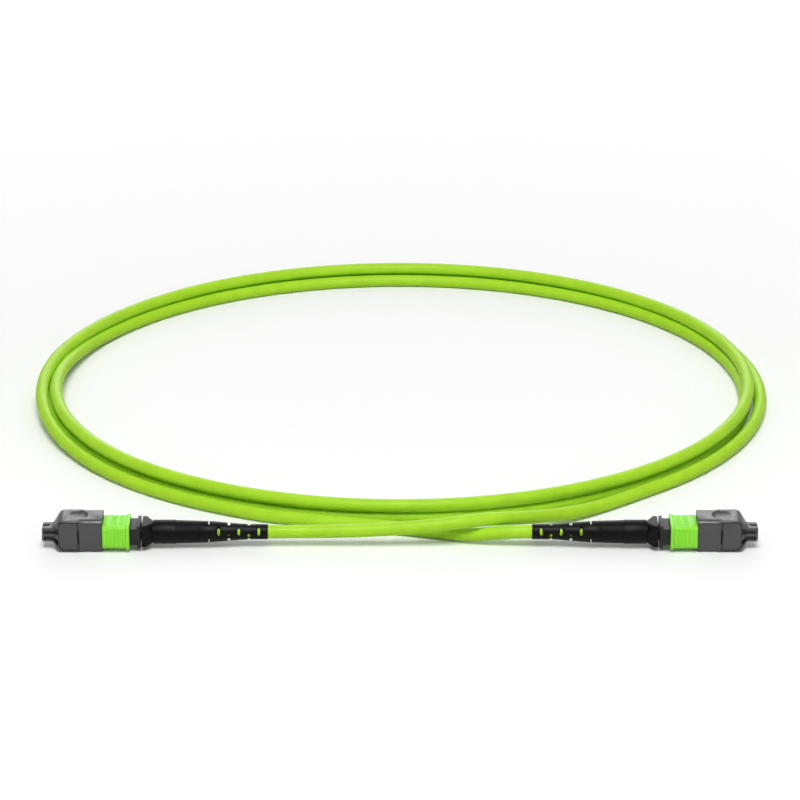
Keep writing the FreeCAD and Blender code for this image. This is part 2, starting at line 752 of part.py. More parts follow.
def ferrule(side, placement):
    """Moulded ferrule with two guide-pin holes, a ribbon slot, a glue window and a rear shoulder."""
    body = new_body(f"{side}_ferrule_body")
    block = section(body, f"{side}_block", FERRULE, "sizes.ferrule_width", "sizes.ferrule_height")
    pad(body, block, "sizes.ferrule_length")
    shoulder = section(body, f"{side}_shoulder", FERRULE, SHOULDER_WIDTH, "sizes.shoulder_height")
    pad(body, shoulder, f"({HOUSING_SEAT} - {FERRULE})")
    slot = section(
        body,
        f"{side}_ribbon_slot",
        FERRULE,
        "(sizes.ribbon_width + 2 * sizes.ribbon_gap)",
        "(sizes.ribbon_thickness + 2 * sizes.ribbon_gap)",
    )
    pocket(body, slot, "(sizes.ferrule_length + sizes.overcut)")
    seat = section(
        body,
        f"{side}_boot_seat",
        FERRULE,
        "(sizes.ferrule_boot_width + 2 * sizes.ribbon_gap)",
        "(sizes.ferrule_boot_height + 2 * sizes.ribbon_gap)",
    )
    pocket(body, seat, "(sizes.ferrule_boot_seat + sizes.ribbon_gap)")
    holes = new_sketch(body, f"{side}_guide_holes", "YZ_Plane", FERRULE)
    for index, sign in enumerate(("-1", "1")):
        place = float(sign) * size("guide_hole_spacing") / 2
        holes.addGeometry(Part.Circle(FreeCAD.Vector(place, 0), FreeCAD.Vector(0, 0, 1), 0.3))
        holes.addConstraint(Sketcher.Constraint("PointOnObject", index, 3, -1))
        named_size(
            holes,
            Sketcher.Constraint("DistanceX", index, 3, place),
            f"place{index}",
            f"({sign} * sizes.guide_hole_spacing / 2)",
        )
        named_size(
            holes, Sketcher.Constraint("Diameter", index, 0.6), f"bore{index}", "sizes.guide_hole_diameter"
        )
    pocket(body, holes, "(sizes.ferrule_length + sizes.overcut)")
    window = section(
        body,
        f"{side}_window",
        f"({HOUSING_SEAT} + sizes.window_place)",
        "sizes.window_width",
        "(2 * sizes.window_depth)",
        above=f"({AXIS} + sizes.ferrule_height / 2)",
    )
    last = pocket(body, window, "sizes.window_length")
    body.Tip = last
    piece(body, f"{side}_ferrule", placement)


def pin_keeper(side, placement):
    """Plate behind the ferrule that seats its spring, with a window for the ferrule's boot."""
    body = new_body(f"{side}_pin_keeper_body")
    plate = section(
        body, f"{side}_plate", KEEPER, SHOULDER_WIDTH, f"({CAVITY_HEIGHT} - 2 * sizes.keeper_gap)"
    )
    pad(body, plate, "sizes.keeper_length")
    window = section(
        body,
        f"{side}_keeper_window",
        KEEPER,
        "(sizes.ferrule_boot_width + 2 * sizes.ribbon_gap)",
        "(sizes.ferrule_boot_height + 2 * sizes.ribbon_gap)",
    )
    pocket(body, window, "sizes.keeper_length")
    piece(body, f"{side}_pin_keeper", placement)


def ferrule_boot(side, placement):
    """Small soft sleeve that leads the ribbon into the ferrule."""
    body = new_body(f"{side}_ferrule_boot_body")
    outer = section(
        body, f"{side}_soft_sleeve", KEEPER, "sizes.ferrule_boot_width", "sizes.ferrule_boot_height"
    )
    pad(body, outer, "(sizes.keeper_length + sizes.ferrule_boot_seat)")
    slot = section(
        body,
        f"{side}_soft_slot",
        KEEPER,
        "(sizes.ribbon_width + 2 * sizes.ribbon_gap)",
        "(sizes.ribbon_thickness + 2 * sizes.ribbon_gap)",
    )
    pocket(body, slot, "(sizes.keeper_length + sizes.ferrule_boot_seat + sizes.overcut)")
    piece(body, f"{side}_ferrule_boot", placement)


def fibre_ribbon(side, placement):
    """The bare fibres as one flat ribbon, from the cable's end to the ferrule's face. Its rear end
    leaves room for the ferrule to float back."""
    ribbon = doc.addObject("Part::Box", f"{side}_ribbon_box")
    start = f"({BARREL_END} + sizes.ferrule_travel + sizes.cable_gap)"
    bound(
        ribbon,
        Length=f"({FERRULE_FRONT} - {start})",
        Width="sizes.ribbon_width",
        Height="sizes.ribbon_thickness",
        Placement__Base__x=start,
        Placement__Base__y="(-sizes.ribbon_width / 2)",
        Placement__Base__z=f"({AXIS} - sizes.ribbon_thickness / 2)",
    )
    carrier = doc.addObject("Part::Compound", f"{side}_ribbon")
    carrier.Links = [ribbon]
    piece(carrier, f"{side}_fibre_ribbon", placement)


def dust_cap(side, placement):
    """Moulded dust cap: a square skirt, a slightly wider grip block with round front edges, and a nose
    with ribbed sides and a slot, hollow behind for the keyed housing."""
    body = new_body(f"{side}_dust_cap_body")
    skirt = section(
        body,
        f"{side}_skirt",
        CAP,
        "sizes.cap_rear_width",
        "sizes.cap_rear_height",
        "sizes.cap_rear_corner",
        above="(sizes.cap_rear_height / 2)",
    )
    pad(body, skirt, "sizes.cap_rear_length")
    low, high = "sizes.cap_front_rise", "(sizes.cap_front_rise + sizes.cap_front_height)"
    turn = f"({CAP_SHOULDER} - sizes.cap_turn_setback)"
    nose_low, nose_high = (f"({AXIS} {sign} sizes.nose_height / 2)" for sign in "-+")
    side_view = outline(
        body,
        f"{side}_cap_side_view",
        [
            (CAP_FRONT, low),
            (turn, low),
            (NOSE, nose_low),
            (NOSE_END, nose_low),
            (NOSE_END, nose_high),
            (NOSE, nose_high),
            (turn, high),
            (CAP_FRONT, high),
        ],
        "0",
    )
    grip = pad(body, side_view, "sizes.cap_rear_width")
    grip.Midplane = True
    rounded(body, grip, "sizes.cap_front_round", on_station(turn))
    for hand, way in (("near", "-"), ("far", "")):
        full = f"({way}sizes.cap_rear_width / 2)"
        beyond = f"({way}(sizes.cap_rear_width / 2 + sizes.overcut))"
        narrow = f"({way}sizes.nose_width / 2)"
        plan = outline(
            body,
            f"{side}_cap_plan_{hand}",
            [
                (CAP_SHOULDER, full),
                (NOSE, narrow),
                (f"({NOSE_END} + sizes.overcut)", narrow),
                (f"({NOSE_END} + sizes.overcut)", beyond),
                (CAP_SHOULDER, beyond),
            ],
            "0",
            "XY_Plane",
        )
        pocket(body, plan, "(2 * sizes.cap_rear_height)", False, True)
    for hand, way, outwards in (("near", "", False), ("far", "-", True)):
        plate = new_sketch(
            body,
            f"{side}_grip_pad_{hand}",
            "XZ_Plane",
            f"({way}(sizes.cap_rear_width / 2 - sizes.pad_root))",
            f"({CAP_FRONT} + sizes.cap_front_length / 2)",
            f"({low} + sizes.cap_front_height / 2)",
        )
        rounded_rectangle(
            plate,
            "(sizes.cap_front_length - 2 * sizes.pad_margin)",
            "(sizes.cap_front_height - 2 * sizes.pad_margin)",
            "sizes.pad_corner",
        )
        pad(body, plate, "(sizes.pad_root + (sizes.cap_front_width - sizes.cap_rear_width) / 2)", outwards)
    for hand, way, inwards in (("near", "", True), ("far", "-", False)):
        for level, up in (("upper", "+"), ("lower", "-")):
            rib, flange = (f"({AXIS} {up} {part})" for part in ("sizes.nose_rib / 2", NOSE_FLANGE))
            hollow_side = outline(
                body,
                f"{side}_nose_{hand}_{level}",
                [
                    (f"({NOSE_END} - sizes.nose_tip_wall)", rib),
                    (NOSE, rib),
                    (CAP_SHOULDER, f"({AXIS} {up} sizes.shoulder_rib / 2)"),
                    (CAP_SHOULDER, f"({AXIS} {up} sizes.shoulder_flange)"),
                    (NOSE, flange),
                    (f"({NOSE_END} - sizes.nose_tip_wall)", flange),
                ],
                "0",
                aside=f"({way}(sizes.nose_width / 2 - sizes.nose_side_depth))",
            )
            pocket(body, hollow_side, "(sizes.cap_rear_width / 2)", inwards)
    slot = section(
        body,
        f"{side}_nose_slot",
        f"({NOSE_END} - sizes.nose_slot_length)",
        "sizes.nose_slot_width",
        "(2 * sizes.nose_slot_depth)",
        above=f"({AXIS} + sizes.nose_height / 2)",
    )
    pocket(body, slot, "(sizes.nose_slot_length + sizes.overcut)")
    ball = "((sizes.dimple_radius ^ 2 + sizes.dimple_depth ^ 2) / (2 * sizes.dimple_depth))"
    dimple = body.newObject("PartDesign::SubtractiveSphere", f"{side}_dimple")
    dimple.AttachmentSupport = (plane(body, "XY_Plane"), [""])
    dimple.MapMode = "FlatFace"
    bound(
        dimple,
        Radius=ball,
        AttachmentOffset__Base__x=f"({CAP} + sizes.dimple_place)",
        AttachmentOffset__Base__z=f"(sizes.cap_rear_height - sizes.dimple_depth + {ball})",
    )
    hollow = section(
        body,
        f"{side}_cap_hollow",
        CAP,
        "(sizes.housing_width + 2 * sizes.cap_fit)",
        "(sizes.housing_height + 2 * sizes.cap_fit)",
        "sizes.housing_corner",
    )
    depth = f"({HOUSING_FRONT} - {CAP} + sizes.ferrule_stand_out + sizes.cap_end_room)"
    pocket(body, hollow, depth)
    keyway = section(
        body,
        f"{side}_keyway",
        CAP,
        "(sizes.key_width + 2 * sizes.cap_fit)",
        "(2 * sizes.key_height + 2 * sizes.cap_fit)",
        above=f"({AXIS} + sizes.housing_height / 2)",
    )
    last = pocket(body, keyway, depth)
    body.Tip = last
    piece(body, f"{side}_dust_cap", placement)


def cable_end(side, placement):
    """The end of the cable's jacket, inside the boot and the crimp ring."""
    jacket = doc.addObject("Part::Cylinder", f"{side}_jacket")
    bound(
        jacket,
        Radius="(sizes.cable_diameter / 2)",
        Height=f"({BARREL_END} - {BOOT_TIP} - sizes.cable_gap)",
        Placement__Base__x=BOOT_TIP,
        Placement__Base__z=AXIS,
    )
    jacket.Placement.Rotation = ALONG_X
    carrier = doc.addObject("Part::Compound", f"{side}_jacket_end")
    carrier.Links = [jacket]
    piece(carrier, f"{side}_cable_end", placement)


# The cable. Between the boots and the coil its route is a list of points chosen by hand. The left-hand
# tail lies over the right-hand one and joins the outer strand at the right; the right-hand tail leaves
# the outer strand at the left.
LEFT_TAIL = [
    (-22.0, 0.0, 5.1),
    (-4.0, -0.6, 6.1),
    (13.0, -0.8, 7.7),
    (28.0, 2.2, 8.7),
    (41.0, 9.6, 6.0),
    (53.0, 18.9, 3.5),
    (64.5, 28.2, 2.25),
]
RIGHT_TAIL = [
    (33.5, 0.0, 5.1),
    (23.0, 2.6, 2.75),
    (11.5, 7.1, 2.25),
    (-3.0, 11.1, 2.2),
    (-18.0, 14.5, 2.25),
    (-34.0, 18.6, 2.2),
]
RIGHT_JOIN_DEG = -47.0
LEFT_JOIN_DEG = 241.0


def on_ring(degrees, radius, height, ahead=0.0):
    """A point on a ring of the coil, or ahead of it along the tangent there."""
    angle = math.radians(degrees)
    return FreeCAD.Vector(
        radius * math.cos(angle) - ahead * math.sin(angle),
        size("coil_centre") + radius * math.sin(angle) + ahead * math.cos(angle),
        height,
    )


def tube(points, diameter, label):
    """A round tube along straight runs joined by arcs as large as the runs allow."""
    edges, radii = [], []
    start = points[0]
    for before, point, after in zip(points, points[1:], points[2:]):
        coming, leaving = point - before, after - point
        reach = 0.45 * min(coming.Length, leaving.Length)
        coming.normalize()
        leaving.normalize()
        half_turn = coming.getAngle(leaving) / 2
        radius = reach / math.tan(half_turn)
        inward = leaving - coming
        inward.normalize()
        middle = point + inward * (radius / math.cos(half_turn) - radius)
        first, last = point - coming * reach, point + leaving * reach
        edges.append(Part.LineSegment(start, first).toShape())
        edges.append(Part.Arc(first, middle, last).toShape())
        radii.append(radius)
        start = last
    edges.append(Part.LineSegment(start, points[-1]).toShape())
    path = Part.Wire(edges)
    ring = Part.Wire([Part.Circle(points[0], points[1] - points[0], diameter / 2).toShape()])
    solid = path.makePipeShell([ring], True, False)
    expected = math.pi * diameter**2 / 4 * path.Length
    if abs(solid.Volume - expected) > 0.01 * expected:
        raise RuntimeError(f"{label}: volume {solid.Volume:.1f}, section times length {expected:.1f}")
    print(f"{label}: {path.Length:.1f} long, arc radii", [round(radius, 1) for radius in radii])
    return solid


def cable_tails():
    boot_tip = value_of(BOOT_TIP)
    height = size("axis_height")
    outer, on_table = size("coil_radius"), size("cable_diameter") / 2
    run = size("join_run")
    ends = {
        "left": [FreeCAD.Vector(-boot_tip, 0, height)]
        + [FreeCAD.Vector(*point) for point in LEFT_TAIL]
        + [on_ring(RIGHT_JOIN_DEG, outer, on_table, -run), on_ring(RIGHT_JOIN_DEG, outer, on_table)],
        "right": [FreeCAD.Vector(boot_tip, 0, height)]
        + [FreeCAD.Vector(*point) for point in RIGHT_TAIL]
        + [on_ring(LEFT_JOIN_DEG, outer, on_table, run), on_ring(LEFT_JOIN_DEG, outer, on_table)],
    }
    for side, points in ends.items():
        tail = doc.addObject("Part::Feature", f"cable_tail_{side}_solid")
        tail.Shape = tube(points, size("cable_diameter"), f"cable_tail_{side}")
        piece(tail, f"cable_tail_{side}")


def cable_coil():
    """The coil as one solid of its outer shape: the inner and top strands all the way round, and all
    three strands where the outer one runs too. It opens for the tails between the two joins."""
    body = new_body("coil_body")
    half = "(sizes.cable_diameter / 2)"
    flat = f"({half} * tan(22.5))"
    spacing = "(sizes.cable_diameter + sizes.strand_gap)"
    raised = f"({half} + sqrt({spacing} ^ 2 - sizes.top_strand_lean ^ 2))"
    outer = "sizes.coil_radius"
    inner = f"({outer} - sizes.cable_diameter - sizes.table_gap)"
    top = f"({inner} + sizes.top_strand_lean)"

    def around(last):
        """The flats round the bundle, with its strands on the table reaching out to last."""
        return [
            (f"({inner} - {flat})", "0"),
            (f"({last} + {flat})", "0"),
            (f"({last} + {half})", f"({half} - {flat})"),
            (f"({last} + {half})", f"({half} + {flat})"),
            (f"({top} + {half})", f"({raised} - {flat})"),
            (f"({top} + {half})", f"({raised} + {flat})"),
            (f"({top} + {flat})", f"({raised} + {half})"),
            (f"({top} - {flat})", f"({raised} + {half})"),
            (f"({top} - {half})", f"({raised} + {flat})"),
            (f"({top} - {half})", f"({raised} - {flat})"),
            (f"({inner} - {half})", f"({half} + {flat})"),
            (f"({inner} - {half})", f"({half} - {flat})"),
        ]

    open_part = outline(body, "two_strands", around(inner), "0")
    whole = body.newObject("PartDesign::Revolution", "two_strands_turned")
    whole.Profile = open_part
    whole.ReferenceAxis = (open_part, ["V_Axis"])
    whole.Angle = 360
    full_part = outline(body, "three_strands", around(outer), "0")
    most = body.newObject("PartDesign::Revolution", "three_strands_turned")
    most.Profile = full_part
    most.ReferenceAxis = (full_part, ["V_Axis"])
    most.Angle = (LEFT_JOIN_DEG - RIGHT_JOIN_DEG) % 360
    turn = FreeCAD.Rotation(FreeCAD.Vector(0, 0, 1), RIGHT_JOIN_DEG)
    piece(body, "cable_coil", FreeCAD.Placement(FreeCAD.Vector(0, size("coil_centre"), 0), turn))


def check_and_write():
    """Stops the build on a failed object or a bad shape, then writes one file for each sub-part."""
    doc.recompute()
    for thing in doc.Objects:
        if "Invalid" in thing.State or "Error" in thing.State:
            raise RuntimeError(f"{thing.Name} failed: {thing.State}")
    for thing in PIECES:
        shape = thing.Shape
        if shape.isNull() or not shape.isValid() or len(shape.Solids) != 1:
            raise RuntimeError(f"{thing.Label} has no single valid solid: {len(shape.Solids)}")
    os.makedirs("parts", exist_ok=True)
    for thing in PIECES:
        thing.Shape.exportStep(os.path.join("parts", f"{thing.Label}.step"))
    print(len(PIECES), "sub-parts written")


for side_name, place in (("right", AS_DRAWN), ("left", TURNED)):
    dust_cap(side_name, place)
    coupling_sleeve(side_name, place)
    inner_housing(side_name, place)
    ferrule(side_name, place)
    ferrule_boot(side_name, place)
    pin_keeper(side_name, place)
    springs(side_name, place)
    spring_push(side_name, place)
    crimp_ring(side_name, place)
    boot(side_name, place)
    fibre_ribbon(side_name, place)
    cable_end(side_name, place)
cable_tails()
cable_coil()
check_and_write()
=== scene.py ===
import json
import math

import bmesh
import bpy
from bpy.props import FloatProperty, FloatVectorProperty, IntProperty, PointerProperty
from bpy.types import Operator, Panel, PropertyGroup
from mathutils import Matrix, Vector


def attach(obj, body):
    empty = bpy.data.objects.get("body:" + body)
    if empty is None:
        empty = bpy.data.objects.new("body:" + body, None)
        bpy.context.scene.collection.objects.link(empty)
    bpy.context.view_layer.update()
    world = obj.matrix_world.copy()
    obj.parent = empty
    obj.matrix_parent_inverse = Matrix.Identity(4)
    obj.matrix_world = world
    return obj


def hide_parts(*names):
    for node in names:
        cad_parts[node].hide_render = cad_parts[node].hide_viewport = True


bl_info = {
    "name": "Fibre patch cord",
    "version": (1, 0, 0),
    "blender": (4, 5, 0),
    "location": "3D View > Sidebar > Patch Cord",
    "description": "Builds a coiled fibre patch cord with a push-on plug at each end",
    "category": "Add Mesh",
}

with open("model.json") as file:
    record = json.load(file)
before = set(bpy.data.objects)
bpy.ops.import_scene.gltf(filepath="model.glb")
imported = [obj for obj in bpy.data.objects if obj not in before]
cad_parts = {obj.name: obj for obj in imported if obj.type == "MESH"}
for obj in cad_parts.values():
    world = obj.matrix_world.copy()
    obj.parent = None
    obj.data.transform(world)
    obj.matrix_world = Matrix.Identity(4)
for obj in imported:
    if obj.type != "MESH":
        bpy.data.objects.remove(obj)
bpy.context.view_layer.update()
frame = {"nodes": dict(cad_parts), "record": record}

MM = 0.001
SIDES = (("left", math.pi), ("right", 0.0))

# The cable's route between the boots and the coil, in millimetres, from each boot outwards.
LEFT_TAIL = [
    (-22.0, 0.0, 5.1),
    (-4.0, -0.6, 6.1),
    (13.0, -0.8, 7.7),
    (28.0, 2.2, 8.7),
    (41.0, 9.6, 6.0),
    (53.0, 18.9, 3.5),
    (64.5, 28.2, 2.25),
]
RIGHT_TAIL = [
    (33.5, 0.0, 5.1),
    (23.0, 2.6, 2.75),
    (11.5, 7.1, 2.25),
    (-3.0, 11.1, 2.2),
    (-18.0, 14.5, 2.25),
    (-34.0, 18.6, 2.2),
]

# The coil: where it starts and ends, where its strands change places on each turn, how far apart its
# control points are, and where its strands stand about the bundle's middle.
COIL_START_DEG = -47.0
COIL_END_DEG = 961.0
COIL_STEP_DEG = 15.0
TWIST_START_DEG = 145.0
TWIST_LENGTH_DEG = 75.0
STRANDS = 3
STRAND_TURN_DEG = 360 / STRANDS
FIRST_STRAND_DEG = 330.0

SLIT_TILT_DEG = 20.0
MOTTLE_MM = 6.0
BUMP_MM = 0.05

# The stage. Each lamp has a name, a place and a size in metres, and a power in watts.
LAMPS = (
    ("key", (0.0, -1.0, 1.75), 0.9, 28.0),
    ("behind", (0.0, 2.2, 0.9), 1.4, 12.0),
    ("left_front", (-1.6, -1.5, 0.9), 1.2, 2.5),
    ("right_front", (1.6, -1.5, 0.9), 1.2, 3.5),
)
LAMP_TARGET = Vector((0, 0.12, 0))
CAMERA_TARGET = Vector((0, 0.1362, 0))
CAMERA_DISTANCE = 1.372
CAMERA_TILT_DEG = 20.15
CAMERA_LENS_MM = 174.7
CAMERA_SENSOR_MM = 36.0
FLOOR_HALF_WIDTH = 6.0
FLOOR_DROP = 0.02 * MM
FLOOR_GREY = (0.75, 0.75, 0.75, 1.0)
WHITE = (1.0, 1.0, 1.0, 1.0)


def linear(hex_colour):
    """An sRGB hex colour as the linear red, green and blue that a shader takes."""
    channels = [int(hex_colour[i : i + 2], 16) / 255 for i in (0, 2, 4)]
    return tuple(c / 12.92 if c <= 0.04045 else ((c + 0.055) / 1.055) ** 2.4 for c in channels)


def length_property(name, description, millimetres):
    """A length that the sidebar shows with its unit."""
    return FloatProperty(
        name=name,
        description=description,
        default=millimetres * MM,
        min=0.0,
        subtype="DISTANCE",
        unit="LENGTH",
        precision=5,
    )


def colour_property(name, description, hex_colour):
    """A colour that the sidebar shows as a swatch."""
    return FloatVectorProperty(
        name=name,
        description=description,
        default=linear(hex_colour),
        size=3,
        min=0,
        max=1,
        subtype="COLOR",
    )


class PatchCordCable(PropertyGroup):
    """Sizes of the cable and its coil."""

    diameter: length_property("Diameter", "Outside diameter of the round jacket", 4.4)
    spacing: length_property("Spacing", "Distance between neighbouring strands of the coil", 4.45)
    table_gap: length_property("Table gap", "Room between the two strands on the table", 0.95)
    top_lean: length_property("Top lean", "How far the top strand leans inwards", 2.2)
    top_lift: length_property("Top lift", "How far leaning raises the top strand", 0.5)
    coil_radius: length_property("Coil radius", "Radius of the coil's outermost strand", 127.2)
    coil_centre: length_property("Coil centre", "Distance of the coil's centre from the plugs' axis", 141.5)


class PatchCordBoot(PropertyGroup):
    """Sizes of the strain relief boot and of the black rear body before it."""

    tip: length_property("Tip", "Place of the boot's thin end along the plug's axis", 42.2)
    axis: length_property("Axis", "Height of the plug's axis over the table", 5.1)
    bore: length_property("Bore", "Inside diameter of the boot's tail", 4.5)
    base: length_property("Base", "Diameter of the tail beside the head", 7.7)
    slit_count: IntProperty(name="Slits", description="Number of slits in the tail", default=7, min=1)
    slit_pitch: length_property("Slit pitch", "Distance from one slit to the next", 3.2)
    slit_width: length_property("Slit width", "Width of a wide slit", 0.95)
    slit_floor: length_property("Slit floor", "Distance of a slit's floor from the axis", 2.1)


class PatchCordSleeve(PropertyGroup):
    """Sizes of the coloured coupling sleeve."""

    rear: length_property("Rear end", "Place of the sleeve's rear end along the axis", 86.3)
    length: length_property("Length", "Length of the sleeve", 8.6)
    width: length_property("Width", "Width of the sleeve without its lip", 11.6)
    height: length_property("Height", "Height of the sleeve without its lip", 7.4)
    lip: length_property("Lip", "Length of the lip at the rear", 1.15)
    rib_count: IntProperty(name="Grip ribs", description="Grip ribs on a narrow side", default=6, min=1)
    rib_pitch: length_property("Rib pitch", "Distance from one grip rib to the next", 1.22)


class PatchCordCap(PropertyGroup):
    """Sizes of the dust cap."""

    rear: length_property("Rear end", "Place of the cap's open end along the axis", 95.0)
    skirt_length: length_property("Skirt length", "Length of the square skirt", 7.45)
    skirt_width: length_property("Skirt width", "Width of the skirt", 10.7)
    skirt_height: length_property("Skirt height", "Height of the skirt", 10.9)
    grip_length: length_property("Grip length", "Length of the grip block", 6.5)
    grip_width: length_property("Grip width", "Width over the two grip pads", 11.2)
    nose_length: length_property("Nose length", "Length of the ribbed nose", 3.45)


class PatchCordColours(PropertyGroup):
    """Colours of the cord's materials."""

    jacket: colour_property("Jacket", "Colour of the cable's jacket", "AEE22E")
    sleeve: colour_property("Sleeve", "Colour of the coupling sleeve", "92EE34")
    cap: colour_property("Cap", "Colour of the dust caps", "424242")
    boot: colour_property("Boot", "Colour of the rubber boots", "060606")
    body: colour_property("Rear body", "Colour of the black rear body", "2C2C2C")


# ---------------------------------------------------------------- meshes


def outline(width, height, corners, steps=6):
    """Points of a rectangle with round corners about its middle, anticlockwise from the right.
    corners is one radius, or four from the top right corner onwards."""
    if not hasattr(corners, "__len__"):
        corners = (corners,) * 4
    points = []
    ways = ((1, 1), (-1, 1), (-1, -1), (1, -1))
    for quarter, ((across, up), corner) in enumerate(zip(ways, corners)):
        corner = max(min(corner, width / 2, height / 2), 1e-7)
        for step in range(steps + 1):
            angle = (quarter + step / steps) * math.pi / 2
            points.append(
                (
                    across * (width / 2 - corner) + corner * math.cos(angle),
                    up * (height / 2 - corner) + corner * math.sin(angle),
                )
            )
    return points


def across_x(points, x, height):
    """An outline stood across the plug's axis at x, its middle at a height."""
    return [Vector((x, a, height + b)) for a, b in points]


def across_y(points, x, y, height):
    """An outline stood along the plug's side at y, its middle at x and a height."""
    return [Vector((x + a, y, height + b)) for a, b in points]


def skin(loops, ring=False):
    """A closed mesh through loops with equal numbers of points. Its ends are filled, or joined to
    each other if ring is set, as for a tube with a wall."""
    bm = bmesh.new()
    rows = [[bm.verts.new(point) for point in loop] for loop in loops]
    pairs = list(zip(rows, rows[1:]))
    if ring:
        pairs.append((rows[-1], rows[0]))
    for near, far in pairs:
        count = len(near)
        for i in range(count):
            bm.faces.new((near[i], near[(i + 1) % count], far[(i + 1) % count], far[i]))
    if not ring:
        bm.faces.new(rows[0])
        bm.faces.new(rows[-1])
    bmesh.ops.remove_doubles(bm, verts=bm.verts, dist=1e-8)
    bmesh.ops.recalc_face_normals(bm, faces=bm.faces)
    return bm


def block(width, height, corner, low, high, level, soft=0.0, steps=6):
    """A block along the plug's axis from low to high, its middle at a height and its end edges round
    by soft."""
    turns = 4
    loops = []
    for end, way in ((low, 1), (high, -1)):
        rows = []
        for turn in range(turns + 1 if soft else 1):
            angle = turn / turns * math.pi / 2
            inset = soft * (1 - math.sin(angle))
            rounding = max(corner - inset, 0.02 * MM)
            points = outline(width - 2 * inset, height - 2 * inset, rounding, steps)
            rows.append(across_x(points, end + way * soft * (1 - math.cos(angle)), level))
        loops += rows[::way]
    return skin(loops)


def mesh_object(name, bm):
    """The mesh as an object of the scene."""
    mesh = bpy.data.meshes.new(name)
    bm.to_mesh(mesh)
    bm.free()
    thing = bpy.data.objects.new(name, mesh)
    bpy.context.scene.collection.objects.link(thing)
    return thing


def baked(thing):
    """The object with its modifiers made part of its mesh."""
    bpy.context.view_layer.update()
    graph = bpy.context.evaluated_depsgraph_get()
    mesh = bpy.data.meshes.new_from_object(thing.evaluated_get(graph))
    thing.modifiers.clear()
    thing.data = mesh
    return thing


def combined(base, others, operation):
    """The base joined with the others, or with them cut out of it."""
    for other in others:
        change = base.modifiers.new("Cut", "BOOLEAN")
        change.operation = operation
        change.solver = "EXACT"
        change.object = other
    baked(base)
    for other in others:
        bpy.data.objects.remove(other)
    return base


def eased(thing, width, angle_deg):
    """The object with its edges rounded where they are sharper than an angle."""
    bevel = thing.modifiers.new("Edges", "BEVEL")
    bevel.width = width
    bevel.segments = 2
    bevel.limit_method = "ANGLE"
    bevel.angle_limit = math.radians(angle_deg)
    bevel.harden_normals = False
    return baked(thing)


def smooth(thing):
    """Smooth shading, broken at sharp edges."""
    thing.data.shade_smooth()
    thing.data.set_sharp_from_angle(angle=math.radians(38.0))


def joined(things):
    """Several objects as one, in the first one's place."""
    bm = bmesh.new()
    for thing in things:
        bm.from_mesh(thing.data)
    bm.to_mesh(things[0].data)
    bm.free()
    for thing in things[1:]:
        bpy.data.objects.remove(thing)
    return things[0]


def both_ends(make, label, material, node, body=None):
    for side, turn in SIDES:
        thing = make(turn)
        thing.name = f"{side}_{label}"
        thing.data.transform(Matrix.Rotation(turn, 4, "Z"))
        thing.data.materials.clear()
        thing.data.materials.append(material)
        smooth(thing)
        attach(thing, "cord" if body is None else f"{side}_{body}")
        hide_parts(f"{side}_{node}")


# ---------------------------------------------------------------- nodes


def add_node(tree, kind, settings=None, **sockets):
    """Adds a node, sets its properties, and sets or links its inputs. An input is named, or is i and
    its number. A tuple of a node and an output's name or number is a link."""
    node = tree.nodes.new(kind)
    for name, value in (settings or {}).items():
        setattr(node, name, value)
    for name, value in sockets.items():
        numbered = name[0] == "i" and name[1:].isdigit()
        socket = node.inputs[int(name[1:]) if numbered else name.replace("_", " ")]
        if isinstance(value, tuple) and isinstance(value[0], bpy.types.Node):
            tree.links.new(value[0].outputs[value[1]], socket)
        else:
            socket.default_value = value
    return node


def row_of_copies():
    """A node tree that sets copies of one piece in a row."""
    tree = bpy.data.node_groups.new("Row of copies", "GeometryNodeTree")
    tree.interface.new_socket("Geometry", in_out="OUTPUT", socket_type="NodeSocketGeometry")
    for name, kind in (
        ("Piece", "NodeSocketObject"),
        ("Count", "NodeSocketInt"),
        ("Step", "NodeSocketVector"),
        ("Material", "NodeSocketMaterial"),
    ):
        tree.interface.new_socket(name, in_out="INPUT", socket_type=kind)
    entry = add_node(tree, "NodeGroupInput")
    places = add_node(
        tree,
        "GeometryNodeMeshLine",
        {"mode": "OFFSET"},
        Count=(entry, "Count"),
        Offset=(entry, "Step"),
    )
    piece = add_node(tree, "GeometryNodeObjectInfo", Object=(entry, "Piece"), As_Instance=True)
    copies = add_node(
        tree, "GeometryNodeInstanceOnPoints", Points=(places, 0), Instance=(piece, "Geometry")
    )
    real = add_node(tree, "GeometryNodeRealizeInstances", Geometry=(copies, 0))
    finish = add_node(
        tree, "GeometryNodeSetMaterial", Geometry=(real, 0), Material=(entry, "Material")
    )
    add_node(tree, "NodeGroupOutput", Geometry=(finish, 0))
    return tree


def row(name, piece, count, step, place, material):
    """A row of copies of a piece from a place onwards, as a plain mesh. The piece is removed."""
    tree = bpy.data.node_groups.get("Row of copies") or row_of_copies()
    holder = bpy.data.objects.new(name, bpy.data.meshes.new(name))
    bpy.context.scene.collection.objects.link(holder)
    change = holder.modifiers.new("Row", "NODES")
    change.node_group = tree
    values = {"Piece": piece, "Count": count, "Step": step, "Material": material}
    for item in tree.interface.items_tree:
        if item.item_type == "SOCKET" and item.in_out == "INPUT":
            change[item.identifier] = values[item.name]
    baked(holder)
    bpy.data.objects.remove(piece)
    holder.data.transform(Matrix.Translation(place))
    return holder


def new_material(name):
    """A new material whose node tree is empty, and that tree."""
    material = bpy.data.materials.new(name)
    material.use_nodes = True
    material.node_tree.nodes.clear()
    return material, material.node_tree


